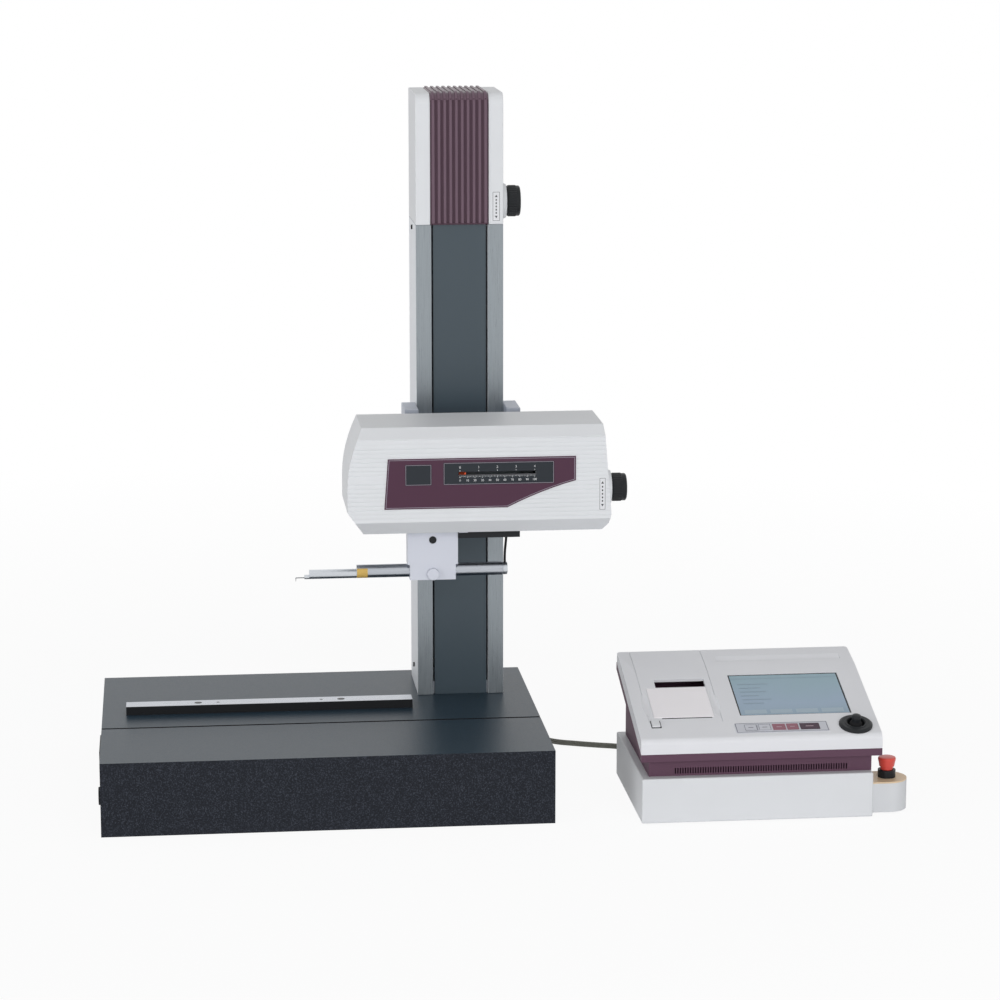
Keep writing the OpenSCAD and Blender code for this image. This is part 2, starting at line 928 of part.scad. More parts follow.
module drive_frame() {
  plate_back = unit_back - frame_t;
  plate_low = x_axis_z - x_motor_w / 2 - 4;
  plate_front = x_axis_y - x_motor_w / 2 - 2;
  color("#9da3a8") difference() {
    union() {
      front_extrude(plate_back, unit_back) unit_front_view(unit_wall + fit_gap);
      box([left_plate, beam_front, beam_z], [right_plate + end_plate_t, plate_back, beam_z + beam_t]);
      for (x = [left_plate, right_plate])
        box([x, plate_front, plate_low], [x + end_plate_t, plate_back, beam_z + beam_t]);
    }
    for (x = [left_plate, right_plate])
      rod_x([x - past, x_axis_y, x_axis_z], end_plate_t + 2 * past, x_journal_d + 2 * run_gap);
  }
}

module x_rail() {
  color("#c3c7ca")
    box(
      [left_plate + end_plate_t, x_rail_y - x_rail_w / 2, beam_z - x_rail_h],
      [right_plate, x_rail_y + x_rail_w / 2, beam_z]
    );
}

module x_motor() {
  color("#2b2d30") difference() {
    box(
      [left_plate - x_motor_len, x_axis_y - x_motor_w / 2, x_axis_z - x_motor_w / 2],
      [left_plate, x_axis_y + x_motor_w / 2, x_axis_z + x_motor_w / 2]
    );
    rod_x([left_plate - motor_bore, x_axis_y, x_axis_z], motor_bore + past, x_journal_d + 2 * run_gap);
  }
}

module x_screw() {
  thread_start = left_plate + end_plate_t + 2;
  thread_end = right_plate - 2;
  start = left_plate - motor_bore + 2;
  color("#b4b8bc") {
    rod_x([start, x_axis_y, x_axis_z], x_boss_end + x_knob_len - start - 3, x_journal_d);
    rod_x([thread_start, x_axis_y, x_axis_z], thread_end - thread_start, x_screw_d);
  }
}

module x_knob() {
  color("#25272a") difference() {
    translate([x_boss_end + run_gap, x_axis_y, x_axis_z]) rotate([0, 90, 0])
      knob(x_knob_d, x_knob_len);
    rod_x(
      [x_boss_end, x_axis_y, x_axis_z],
      x_knob_len - 3 + fit_gap,
      x_journal_d + fit_gap
    );
  }
}

module x_slider() {
  rear = x_rail_y + x_rail_w / 2 + 8;
  top = beam_z - run_gap;
  color("#1d1e21") difference() {
    union() {
      box(
        [slider_x - slider_w / 2, slider_front, slider_z],
        [slider_x + slider_w / 2, rear, top]
      );
      box(
        [slider_x - slider_w / 3, det_y - neck_w / 2, holder_top],
        [neck_end, det_y + neck_w / 2, slider_z]
      );
      box(
        [slider_x + holder_w / 2, det_y - slider_bar_w / 2, holder_top - bar_drop],
        [neck_end, det_y + slider_bar_w / 2, holder_top]
      );
    }
    box(
      [slider_x - slider_w, x_rail_y - x_rail_w / 2 - run_gap, beam_z - x_rail_h - run_gap],
      [slider_x + slider_w, x_rail_y + x_rail_w / 2 + run_gap, beam_z + past]
    );
    rod_x([slider_x - slider_w, x_axis_y, x_axis_z], 2 * slider_w, x_screw_d + 2 * run_gap);
  }
}

// Pointer's bracket on the slider and its finger in the scale's slit
module scale_pointer() {
  finger_t = 3;
  plate_low = x_axis_z + x_screw_d;
  color("#c23a2e") {
    box(
      [slider_x + slider_w / 4, slider_front - finger_t, plate_low - 16],
      [pointer_x + pointer_t / 2, slider_front, slit_z + slit_h / 4]
    );
    box(
      [pointer_x - pointer_t / 2, unit_front - panel_t, slit_z - slit_h / 4],
      [pointer_x + pointer_t / 2, slider_front, slit_z + slit_h / 4]
    );
  }
}

module detector_holder() {
  front = det_y - holder_d / 2;
  rear = det_y + holder_d / 2;
  ease = 3;
  color("#d4d7da") difference() {
    union() {
      box(
        [slider_x - holder_w / 2, front, holder_z + clamp_h],
        [slider_x + holder_w / 2, rear, holder_top]
      );
      box(
        [slider_x - holder_w / 2 + ease, front, holder_z],
        [slider_x + holder_w / 2 - ease, rear, holder_z + clamp_h]
      );
    }
    rod_x([slider_x - holder_w, det_y, tube_z], 2 * holder_w, tube_d + 2 * fit_gap);
    rod_y([slider_x, front - past, holder_screw_z], holder_head_h + past, holder_head_d + 2 * fit_gap);
    rod_y([slider_x, front, holder_screw_z], holder_d - 2, holder_screw_d + 2 * fit_gap);
    rod_y([slider_x, front - past, clamp_z], holder_d / 2, clamp_stem_d + 2 * fit_gap);
  }
}

module holder_screws() {
  front = det_y - holder_d / 2;
  clamp_reach = (holder_d - tube_d) / 2 - fit_gap;
  color("#1b1c1f") {
    rod_y([slider_x, front, holder_screw_z], holder_head_h, holder_head_d);
    rod_y([slider_x, front, holder_screw_z], holder_d - 3, holder_screw_d);
    rod_y([slider_x, front - clamp_len, clamp_z], clamp_len, clamp_d);
    rod_y([slider_x, front - clamp_len, clamp_z], clamp_len + clamp_reach, clamp_stem_d);
  }
}

module detector_tube() {
  color("#b6babd") difference() {
    rod_x([tube_x, det_y, tube_z], tube_len, tube_d);
    rod_x([tube_x - past, det_y, tube_z - 1], spigot_len + 2 * past, spigot_d + 2 * fit_gap);
    rod_x([tube_end - spigot_len, det_y, tube_z], spigot_len + past, spigot_d + 2 * fit_gap);
  }
}

module tube_end_cap() {
  color("#c2c6ca") {
    rod_x([tube_end, det_y, tube_z], end_cap_len, end_cap_d);
    rod_x([tube_end - spigot_len + past, det_y, tube_z], spigot_len, spigot_d);
  }
}

module detector_body() {
  hole_len = pivot_len + 2 * fit_gap;
  color("#c9cccf") difference() {
    union() {
      rod_x([tip_x, det_y, detector_z], detector_len, detector_d);
      rod_x([tip_x - nose_len, det_y, pivot_z + past], nose_len + past, nose_d);
      rod_x([tip_x, det_y, tube_z - 1], detector_len + spigot_len, spigot_d);
    }
    box(
      [tip_x - nose_len - past, det_y - stylus_slot_w / 2, pivot_z - stylus_slot_down],
      [pivot_x + 2, det_y + stylus_slot_w / 2, pivot_z + stylus_slot_up]
    );
    rod_y([pivot_x, det_y - hole_len / 2, pivot_z], hole_len, pivot_d + 2 * fit_gap);
  }
}

// Stylus arm with its pivot pin and its cone-shaped tip
module stylus_arm() {
  tip_d = 0.3;
  color("#6d7175") {
    rod_y([pivot_x, det_y - pivot_len / 2, pivot_z], pivot_len, pivot_d);
    rod_x([pivot_x - stylus_len, det_y, pivot_z], stylus_len, stylus_d);
    translate([pivot_x - stylus_len, det_y, pivot_z - stylus_drop])
      cylinder(h = stylus_drop, d1 = tip_d, d2 = stylus_d);
  }
}

module detector_lead() {
  cap_at = [tube_end + end_cap_len / 2, det_y, tube_z + end_cap_d / 2];
  bar_under = holder_top - bar_drop;
  lead_rise = lead_route[len(lead_route) - 1][2];
  reach = (bar_under - cap_at[2]) / lead_rise;
  route = [for (p = lead_route) cap_at + [p[0], p[1], p[2] * reach]];
  color("#151617") swept_tube(route, lead_d, 8, [0, 1, 0]);
}

module stand_cable_gland() {
  reach = cable_start[1] - col_back;
  color("#1a1b1d") {
    rod_y([cable_start[0], col_back - back_t, cable_start[2]], back_t, gland_spigot_d);
    rod_y([cable_start[0], col_back, cable_start[2]], gland_flange, gland_d);
    translate([cable_start[0], col_back + gland_flange, cable_start[2]]) rotate([-90, 0, 0])
      cylinder(h = reach - gland_flange, d1 = gland_d - 6, d2 = cable_d + 3);
  }
}

module link_cable() {
  color("#6e6c60") swept_tube(link_route, cable_d, 10, [1, 0, 0]);
}

module link_plug() {
  sleeve = 10;
  reach = cable_end[1] - plinth_y1;
  color("#1c1d1f") {
    rod_y([cable_end[0], plinth_y1, cable_end[2]], reach - sleeve, plug_d);
    translate([cable_end[0], plinth_y1 + reach - sleeve, cable_end[2]]) rotate([-90, 0, 0])
      cylinder(h = sleeve, d1 = plug_d - 3, d2 = cable_d + 2);
  }
}

// Frame of the console's top: X from its left edge, Y up the slope, Z out of the surface
module on_slope() {
  translate([console_left, -console_forward, console_front_h]) rotate([console_slope, 0, 0])
    children();
}

function rim_at(y) = rim_front + (y + console_forward) * tan(console_slope);

module console_plinth() {
  color("#dfe1e3") difference() {
    box([plinth_x0, plinth_y0, foot_h], [plinth_x1, plinth_y1, plinth_h]);
    box(
      [plinth_x0 + plinth_wall, plinth_y0 + plinth_wall, foot_h - past],
      [plinth_x1 - plinth_wall, plinth_y1 - plinth_wall, plinth_h - plinth_wall]
    );
  }
}

module plinth_floor() {
  rim = plinth_wall + fit_gap;
  color("#9aa0a5")
    box(
      [plinth_x0 + rim, plinth_y0 + rim, foot_h],
      [plinth_x1 - rim, plinth_y1 - rim, foot_h + floor_t]
    );
}

module rubber_feet() {
  foot_d = 20;
  inset = 24;
  color("#1c1d1f")
    for (x = [plinth_x0 + inset, plinth_x1 - inset])
      for (y = [plinth_y0 + inset, plinth_y1 - inset])
        rod_z([x, y, 0], foot_h, foot_d);
}

module power_supply() {
  corner = [plinth_x0 + supply_inset[0], plinth_y0 + supply_inset[1], foot_h + floor_t];
  color("#b9bdc1") box(corner, corner + supply_size);
}

// Plan of the pod: a round end joined straight to the plinth's side
module pod_plan(inside) {
  translate([stop_x, stop_y]) circle(d = pod_d - 2 * inside);
  translate([plinth_x1, stop_y - pod_d / 2 + inside])
    square([stop_x - plinth_x1, pod_d - 2 * inside]);
}

module estop_pod() {
  roof = 3;
  color("#dfe1e3") difference() {
    translate([0, 0, foot_h]) linear_extrude(pod_h - foot_h) pod_plan(0);
    translate([plinth_wall, 0, foot_h - past]) intersection() {
      linear_extrude(pod_h - roof - foot_h + past) pod_plan(plinth_wall);
      box([plinth_x1, stop_y - pod_d, 0], [stop_x + pod_d / 2 - 2 * plinth_wall, stop_y + pod_d, pod_h]);
    }
    rod_z([stop_x, stop_y, foot_h], pod_h, collar_stem_d + 2 * fit_gap);
  }
}

module estop_plate() {
  color("#d9b878") difference() {
    translate([0, 0, pod_h]) linear_extrude(stop_plate_t) pod_plan(0);
    rod_z([stop_x, stop_y, pod_h - past], stop_plate_t + 2 * past, collar_stem_d + 2 * fit_gap);
  }
}

module estop_collar() {
  color("#1b1c1e") difference() {
    union() {
      rod_z([stop_x, stop_y, stop_z], collar_h, collar_d);
      rod_z([stop_x, stop_y, stop_z - collar_stem_len], collar_stem_len, collar_stem_d);
    }
    rod_z([stop_x, stop_y, stop_z - collar_stem_len + 3], collar_h + collar_stem_len, collar_bore);
  }
}

// Mushroom button on its plunger
module estop_button() {
  mushroom_h = 13;
  brim = 4;
  crown = 5;
  waist = stop_z + stop_rise;
  plunger_d = collar_bore - 2 * run_gap;
  color("#cf3d35") {
    rod_z([stop_x, stop_y, stop_z - 3], stop_rise + 3 + past, plunger_d);
    rod_z([stop_x, stop_y, waist], mushroom_h - crown, stop_d);
    translate([stop_x, stop_y, waist + mushroom_h - crown])
      cylinder(h = crown, d1 = stop_d, d2 = stop_d - 2 * brim);
  }
}

// Side views of the console's lower case: a sloping lip over an upright body
module case_lip(inside) {
  y0 = -console_forward + inside;
  y1 = -console_forward + console_d - inside;
  polygon([
    [y0, rim_at(y0) - lip_h], [y1, rim_at(y1) - lip_h], [y1, rim_at(y1)], [y0, rim_at(y0)]
  ]);
}

module case_body(inside, over) {
  y0 = case_front + inside;
  y1 = case_back - inside;
  low = plinth_h + inside;
  polygon([
    [y0, low], [y1, low], [y1, rim_at(y1) + over], [y0, rim_at(y0) + over]
  ]);
}

module at_standoffs() {
  inset = 2 * board_inset;
  left = console_left + case_inset;
  right = console_left + console_w - case_inset;
  for (x = [left + inset, right - inset])
    for (y = [case_front + inset, case_back - inset])
      translate([x, y, 0]) children();
}

module console_lower_case() {
  x0 = console_left + case_inset;
  x1 = console_left + console_w - case_inset;
  vents = floor((vent_x1 - vent_x0) / vent_pitch);
  color("#5d3649") {
    difference() {
      union() {
        side_extrude(x0, x1) case_body(0, -lip_h / 2);
        side_extrude(console_left, console_left + console_w) case_lip(0);
      }
      side_extrude(x0 + case_wall, x1 - case_wall) case_body(case_wall, past);
      for (i = [0 : vents])
        translate([console_left + vent_x0 + i * vent_pitch, 0, plinth_h + case_wall])
          box([0, case_front - past, 0], [vent_w, case_front + case_wall + past, vent_h]);
    }
    at_standoffs() rod_z([0, 0, plinth_h + case_wall], standoff_h, 8);
  }
}

module main_board() {
  board_t = 1.6;
  color("#2f6b45")
    box(
      [console_left + case_inset + board_inset, case_front + board_inset, board_z],
      [console_left + console_w - case_inset - board_inset, case_back - board_inset, board_z + board_t]
    );
}

// Box in the sloping frame, set by its middle, its size and its lowest and highest Z
module slab(middle, size, low, high) {
  box(
    [middle[0] - size[0] / 2, middle[1] - size[1] / 2, low],
    [middle[0] + size[0] / 2, middle[1] + size[1] / 2, high]
  );
}

module console_top_case() {
  inner_end = slope_len - 3 * cover_wall;
  inner_start = cover_wall + 2;
  color("#dfe1e3") difference() {
    intersection() {
      on_slope() box([0, -slope_len, -cover_depth], [console_w, 2 * slope_len, 0]);
      box(
        [console_left, -console_forward, 0],
        [console_left + console_w, -console_forward + console_d, 2 * console_d]
      );
    }
    on_slope() {
      box(
        [cover_wall, inner_start, -cover_depth - past],
        [console_w - cover_wall, inner_end, -cover_wall]
      );
      box(
        [screen_x - fit_gap, screen_s - fit_gap, -cover_wall - past],
        [screen_x + screen_w + fit_gap, screen_s + screen_d + fit_gap, past]
      );
      box([lid_x, lid_s, -cover_wall - past], [lid_x + lid_w, lid_s + lid_d, past]);
      box([slot_x, slot_s, -cover_wall - past], [slot_x + slot_w, slot_s + slot_d, past]);
      rod_x(
        [lid_x - lid_pin_len - fit_gap, lid_axis_s, -cover_wall / 2],
        lid_w + 2 * (lid_pin_len + fit_gap),
        lid_pin_d + 2 * fit_gap
      );
      slab(
        latch_at + [0, latch_travel / 2],
        latch_stem + [2 * run_gap, latch_travel + 2 * run_gap],
        -cover_wall - past,
        past
      );
      rod_z([stick_x, stick_s, -cover_wall - past], cover_wall + 2 * past, cup_d + 2 * fit_gap);
    }
  }
}

module screen_panel() {
  recess = 1;
  glass_t = 5;
  middle = [screen_x + screen_w / 2, screen_s + screen_d / 2];
  size = [screen_w, screen_d];
  color("#7fa0aa") on_slope() {
    slab(middle, size, -recess - glass_t, -recess);
    slab(middle, size + 2 * [screen_flange, screen_flange], -cover_wall - 3, -cover_wall);
  }
}

// Membrane key strip: each key is its start along the strip and its width
module key_overlay() {
  strip = [125, 24, 0.8];
  key_rise = 0.5;
  key_d = 15;
  keys = [[12, 17], [31, 16.5], [50, 17.5], [69, 15.5], [87, 26]];
  color("#c9cbd2") on_slope() translate([key_x, key_s, 0]) {
    cube(strip);
    for (k = keys)
      translate([k[0], (strip[1] - key_d) / 2, strip[2]]) cube([k[1], key_d, key_rise]);
  }
}

module printer_frame() {
  middle = [lid_x + lid_w / 2, lid_s + lid_d / 2];
  size = [lid_w, lid_d];
  under = -cover_wall;
  color("#3a3c40") on_slope() difference() {
    union() {
      slab(middle, size, -tray_depth, under);
      slab(middle + [0, -1], size + [8, 6], under - tray_wall, under);
    }
    slab(middle, size - 2 * [tray_wall, tray_wall], -tray_depth + tray_wall, past);
  }
}

module paper_roll() {
  core_d = 12;
  roll_w = lid_w - 12;
  at = [lid_x + 6, lid_s + lid_d / 2, -tray_depth + tray_wall + roll_d / 2];
  color("#f2f0ea") on_slope() difference() {
    rod_x(at, roll_w, roll_d);
    rod_x(at - [past, 0, 0], roll_w + 2 * past, core_d);
  }
}

module printer_lid() {
  x0 = lid_x + run_gap;
  x1 = lid_x + lid_w - run_gap;
  color("#dfe1e3") on_slope() {
    box([x0, lid_axis_s, -cover_wall], [x1, lid_s + lid_d - 2 * run_gap, 0]);
    rod_x([x0, lid_axis_s, -cover_wall / 2], x1 - x0, cover_wall);
    rod_x([lid_x - lid_pin_len, lid_axis_s, -cover_wall / 2], lid_w + 2 * lid_pin_len, lid_pin_d);
  }
}

module lid_latch() {
  keeper = latch_stem + [4, 2];
  color("#d5d7da") on_slope() {
    slab(latch_at, latch_tab, run_gap, run_gap + latch_tab[2]);
    slab(latch_at, latch_stem, -cover_wall - keeper_t - run_gap, 2 * run_gap);
    slab(latch_at, keeper, -cover_wall - keeper_t - run_gap, -cover_wall - run_gap);
  }
}

// Frame of the joystick: on the slope, with the stick's pivot at the origin
module at_stick() {
  on_slope() translate([stick_x, stick_s, -stick_pivot]) children();
}

module joystick_bezel() {
  rim_h = 4;
  edge = 2;
  bore = cup_d - 2 * cup_wall;
  color("#202225") at_stick() difference() {
    union() {
      rod_z([0, 0, stick_pivot], rim_h - edge, bezel_d);
      translate([0, 0, stick_pivot + rim_h - edge])
        cylinder(h = edge, d1 = bezel_d, d2 = bezel_d - 3 * edge);
      rod_z([0, 0, stick_pivot - cup_depth], cup_depth, cup_d);
    }
    rod_z([0, 0, stick_pivot - cup_depth + cup_wall], cup_depth + rim_h, bore);
    rod_x([-cup_d, 0, 0], 2 * cup_d, stick_pin_d + 2 * fit_gap);
  }
}

module joystick_gimbal() {
  reach = cup_d / 2 - past;
  color("#8a8f94") at_stick() difference() {
    union() {
      rod_z([0, 0, -gimbal_t / 2], gimbal_t, gimbal_d);
      rod_x([-reach, 0, 0], 2 * reach, stick_pin_d);
    }
    rod_z([0, 0, -gimbal_t / 2 - past], gimbal_t + 2 * past, gimbal_bore);
    rod_y([0, -gimbal_d, 0], 2 * gimbal_d, stick_pin_d + 2 * fit_gap);
  }
}

module joystick_stick() {
  shaft = 7;
  hub = 10;
  neck = 11;
  grip_d = 12;
  grip_h = 8;
  crown = 2;
  pin = gimbal_d / 2 - past / 2;
  color("#17181a") at_stick() {
    sphere(d = hub);
    rod_y([0, -pin, 0], 2 * pin, stick_pin_d);
    rod_z([0, 0, 0], neck + past, shaft);
    rod_z([0, 0, neck], grip_h, grip_d);
    translate([0, 0, neck + grip_h]) cylinder(h = crown, d1 = grip_d, d2 = grip_d - 2 * crown);
  }
}

granite_base();
side_caps();
alignment_bar();
stand_screws();
column_rail_left();
column_rail_right();
column_cover();
column_back();
column_foot();
head_plate();
head_cover();
head_rib_strip();
motor_bracket();
z_motor();
z_bearings();
z_screw();
z_knob();
z_nut();
carriage();
guide_pads();
drive_frame();
drive_cover();
front_panel();
panel_windows();
x_rail();
x_motor();
x_screw();
x_knob();
x_slider();
scale_pointer();
detector_holder();
holder_screws();
detector_tube();
tube_end_cap();
detector_body();
stylus_arm();
detector_lead();
stand_cable_gland();
link_cable();
link_plug();
console_plinth();
plinth_floor();
rubber_feet();
power_supply();
estop_pod();
estop_plate();
estop_collar();
estop_button();
console_lower_case();
console_top_case();
screen_panel();
main_board();
key_overlay();
printer_frame();
paper_roll();
printer_lid();
lid_latch();
joystick_bezel();
joystick_gimbal();
joystick_stick();
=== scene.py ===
import json
import math
import bpy
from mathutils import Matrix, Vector


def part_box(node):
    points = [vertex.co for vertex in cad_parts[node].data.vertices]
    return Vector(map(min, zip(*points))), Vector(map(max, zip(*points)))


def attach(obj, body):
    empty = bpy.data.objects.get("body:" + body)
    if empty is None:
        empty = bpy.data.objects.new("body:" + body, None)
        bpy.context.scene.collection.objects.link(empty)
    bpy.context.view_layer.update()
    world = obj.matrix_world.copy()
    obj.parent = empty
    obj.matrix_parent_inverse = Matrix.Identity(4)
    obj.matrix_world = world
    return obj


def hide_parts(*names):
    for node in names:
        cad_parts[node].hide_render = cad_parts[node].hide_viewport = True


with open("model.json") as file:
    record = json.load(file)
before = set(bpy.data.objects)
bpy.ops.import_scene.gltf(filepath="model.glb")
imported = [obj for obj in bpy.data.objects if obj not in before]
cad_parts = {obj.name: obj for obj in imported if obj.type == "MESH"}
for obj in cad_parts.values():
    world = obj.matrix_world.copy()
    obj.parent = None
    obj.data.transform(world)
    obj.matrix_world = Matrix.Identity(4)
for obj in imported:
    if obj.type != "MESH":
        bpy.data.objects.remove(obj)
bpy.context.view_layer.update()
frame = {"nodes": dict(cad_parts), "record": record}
mm = 0.001
bodyOf = {node: body for body, nodes in frame["record"]["behaviour"]["bodies"].items() for node in nodes}
print("frame loaded:", len(frame["nodes"]), "nodes")


# colours are written as sRGB hex and turned to linear here
def linear(hexColour):
    parts = [int(hexColour[i:i + 2], 16) / 255 for i in (1, 3, 5)]
    return [c / 12.92 if c <= 0.04045 else ((c + 0.055) / 1.055) ** 2.4 for c in parts] + [1.0]


def addNode(tree, kind, settings=None, links=None):
    node = tree.nodes.new(kind)
    for key, value in (settings or {}).items():
        if isinstance(key, int) or key in node.inputs:
            node.inputs[key].default_value = value
        else:
            setattr(node, key, value)
    for key, (source, output) in (links or {}).items():
        tree.links.new(source.outputs[output], node.inputs[key])
    return node


def setRamp(node, stops):
    ramp = node.color_ramp
    while len(ramp.elements) > 1:
        ramp.elements.remove(ramp.elements[-1])
    ramp.elements[0].position = stops[0][0]
    ramp.elements[0].color = linear(stops[0][1])
    for place, colour in stops[1:]:
        ramp.elements.new(place).color = linear(colour)


def newSurface(name, sockets):
    mat = bpy.data.materials.new(name)
    mat.use_nodes = True
    tree = mat.node_tree
    shader = tree.nodes["Principled BSDF"]
    for key, value in sockets.items():
        shader.inputs[key].default_value = value
    coords = addNode(tree, "ShaderNodeTexCoord")
    return mat, tree, shader, coords


def perMetre(sizeMm):
    return 1.0 / (sizeMm * mm)  # noise scale for a grain of that size


# camera: fitted to edges of the base, the column and the console, level roll, no shift
cameraSet = {
    "place": (-0.2026, -4.2353, 1.2458), "tilt": 78.704, "turn": -6.098,
    "lens": 113.8, "sensor": 36, "farClip": 200,
}


def placeCamera():
    data = bpy.data.cameras.new("photoCamera")
    data.lens = cameraSet["lens"]
    data.sensor_width = cameraSet["sensor"]
    data.clip_end = cameraSet["farClip"]
    cam = bpy.data.objects.new("photoCamera", data)
    cam.location = cameraSet["place"]
    cam.rotation_euler = (math.radians(cameraSet["tilt"]), 0, math.radians(cameraSet["turn"]))
    bpy.context.scene.collection.objects.link(cam)
    bpy.context.scene.camera = cam


placeCamera()
print("camera placed")

# soft studio: white floor that keeps a faint shadow near the object, even world, large lamps
studioSet = {
    "floor": "#EDEEF0",
    "floorSize": 90.0,
    "floorDrop": 0.0004,  # keeps the floor clear of the feet
    "whiteNear": 0.93,  # how much of the floor's look is plain white to the eye, by the object and far off
    "whiteFar": 1.0,
    "whiteSpan": (0.8, 2.4),  # metres from the middle over which it changes
    "world": 0.30,
    "lamps": [
        {"name": "keyLamp", "place": (0.9, -5.0, 0.7), "aim": (0.2, 0, 0.4), "size": 4.0, "watts": 196},
        {"name": "fillLamp", "place": (-4.2, -2.2, 1.2), "aim": (0.2, 0, 0.4), "size": 3.0, "watts": 76},
        {"name": "topLamp", "place": (0.2, 0.4, 3.4), "aim": (0.2, 0, 0.2), "size": 3.0, "watts": 16},
    ],
}


def seenPart(tree):
    # 1 for what the eye, a mirror or glass sees, 0 for light on the object
    path = addNode(tree, "ShaderNodeLightPath")
    first = addNode(
        tree, "ShaderNodeMath", {"operation": "ADD"},
        {0: (path, "Is Camera Ray"), 1: (path, "Is Glossy Ray")},
    )
    return addNode(
        tree, "ShaderNodeMath", {"operation": "ADD", "use_clamp": True},
        {0: (first, 0), 1: (path, "Is Transmission Ray")},
    )


def buildStudio():
    scene = bpy.context.scene
    scene.view_settings.view_transform = "Standard"
    world = bpy.data.worlds.new("studioWorld")
    world.use_nodes = True
    scene.world = world
    tree = world.node_tree
    tree.nodes.clear()
    dim = addNode(tree, "ShaderNodeBackground", {"Color": (1, 1, 1, 1), "Strength": studioSet["world"]})
    white = addNode(tree, "ShaderNodeBackground", {"Color": (1, 1, 1, 1), "Strength": 1.0})
    mix = addNode(tree, "ShaderNodeMixShader", None, {0: (seenPart(tree), 0), 1: (dim, 0), 2: (white, 0)})
    addNode(tree, "ShaderNodeOutputWorld", None, {"Surface": (mix, 0)})

    bpy.ops.object.select_all(action="DESELECT")
    bpy.ops.mesh.primitive_plane_add(size=studioSet["floorSize"], location=(0, 0, -studioSet["floorDrop"]))
    floor = bpy.context.object
    floor.name = "studioFloor"
    mat = bpy.data.materials.new("paintedFloor")
    mat.use_nodes = True
    tree = mat.node_tree
    tree.nodes.clear()
    matte = addNode(tree, "ShaderNodeBsdfDiffuse", {"Color": linear(studioSet["floor"])})
    glow = addNode(tree, "ShaderNodeEmission", {"Color": (1, 1, 1, 1), "Strength": 1.0})
    coords = addNode(tree, "ShaderNodeTexCoord")
    away = addNode(tree, "ShaderNodeVectorMath", {"operation": "LENGTH"}, {0: (coords, "Object")})
    near, far = studioSet["whiteSpan"]
    white = addNode(
        tree, "ShaderNodeMapRange",
        {"From Min": near, "From Max": far, "To Min": studioSet["whiteNear"], "To Max": studioSet["whiteFar"]},
        {"Value": (away, "Value")},
    )
    share = addNode(
        tree, "ShaderNodeMath", {"operation": "MULTIPLY"}, {0: (seenPart(tree), 0), 1: (white, "Result")}
    )
    mix = addNode(tree, "ShaderNodeMixShader", None, {0: (share, 0), 1: (matte, 0), 2: (glow, 0)})
    addNode(tree, "ShaderNodeOutputMaterial", None, {"Surface": (mix, 0)})
    floor.data.materials.append(mat)

    for lamp in studioSet["lamps"]:
        data = bpy.data.lights.new(lamp["name"], "AREA")
        data.energy = lamp["watts"]
        data.size = lamp["size"]
        light = bpy.data.objects.new(lamp["name"], data)
        light.location = lamp["place"]
        aim = Vector(lamp["aim"]) - Vector(lamp["place"])
        light.rotation_euler = aim.to_track_quat("-Z", "Y").to_euler()
        light.visible_glossy = False  # mirrors see the white surround, not the lamps
        scene.collection.objects.link(light)


buildStudio()
print("studio built")

noiseSpan = {"From Min": 0.3, "From Max": 0.7}  # nearly all of a noise's values lie in here

# lapped granite: near-black stone with fine pale and dark grains; the top has a soft sheen, the sides are matt, and
# the top's grains are also drawn bluer and lighter than the sides' as painted sheen
# the grains are drawn at over a millimetre, coarser than the stone's, so that they show
graniteSet = {
    "top": {
        # the top's colours are the same stone drawn bluer and lighter: painted sheen
        "dark": "#19252F", "mid": "#22333F", "pale": "#475964", "stops": (0.34, 0.52, 0.64, 0.78),
        "rough": 0.36, "gloss": 0.33,
    },
    "side": {
        "dark": "#14161B", "mid": "#1B1E25", "pale": "#40444D", "stops": (0.40, 0.49, 0.55, 0.72),
        "rough": 0.6, "gloss": 0.2,
    },
    "grainMm": 1.6, "cloudMm": 14.0, "cloudShare": 0.08, "roughSpan": (0.85, 1.2),
}


def graniteMat(name, look):
    roughness = look["rough"]
    mat, tree, shader, coords = newSurface(name, {"Roughness": roughness, "Specular IOR Level": look["gloss"]})
    grain = addNode(
        tree, "ShaderNodeTexNoise",
        {"Scale": perMetre(graniteSet["grainMm"]), "Detail": 3.0, "Roughness": 0.7}, {"Vector": (coords, "Object")},
    )
    cloud = addNode(
        tree, "ShaderNodeTexNoise", {"Scale": perMetre(graniteSet["cloudMm"]), "Detail": 2.0},
        {"Vector": (coords, "Object")},
    )
    both = addNode(
        tree, "ShaderNodeMath", {"operation": "MULTIPLY_ADD", 1: graniteSet["cloudShare"]},
        {0: (cloud, "Fac"), 2: (grain, "Fac")},
    )
    ramp = addNode(tree, "ShaderNodeValToRGB", None, {"Fac": (both, 0)})
    tones = ("dark", "mid", "mid", "pale")
    setRamp(ramp, [(stop, look[tone]) for stop, tone in zip(look["stops"], tones)])
    tree.links.new(ramp.outputs["Color"], shader.inputs["Base Color"])
    least, most = graniteSet["roughSpan"]
    rough = addNode(
        tree, "ShaderNodeMapRange", {**noiseSpan, "To Min": roughness * least, "To Max": roughness * most},
        {"Value": (grain, "Fac")},
    )
    tree.links.new(rough.outputs["Result"], shader.inputs["Roughness"])
    return mat


# moulded plastic and sprayed paint: even colour, slight clouding, fine grain in the surface
# the grain is drawn coarser than a real mould's, so that it shows
mouldSet = {"cloudMm": 70, "grainDeep": 0.2}  # depth is a share of the grain's width


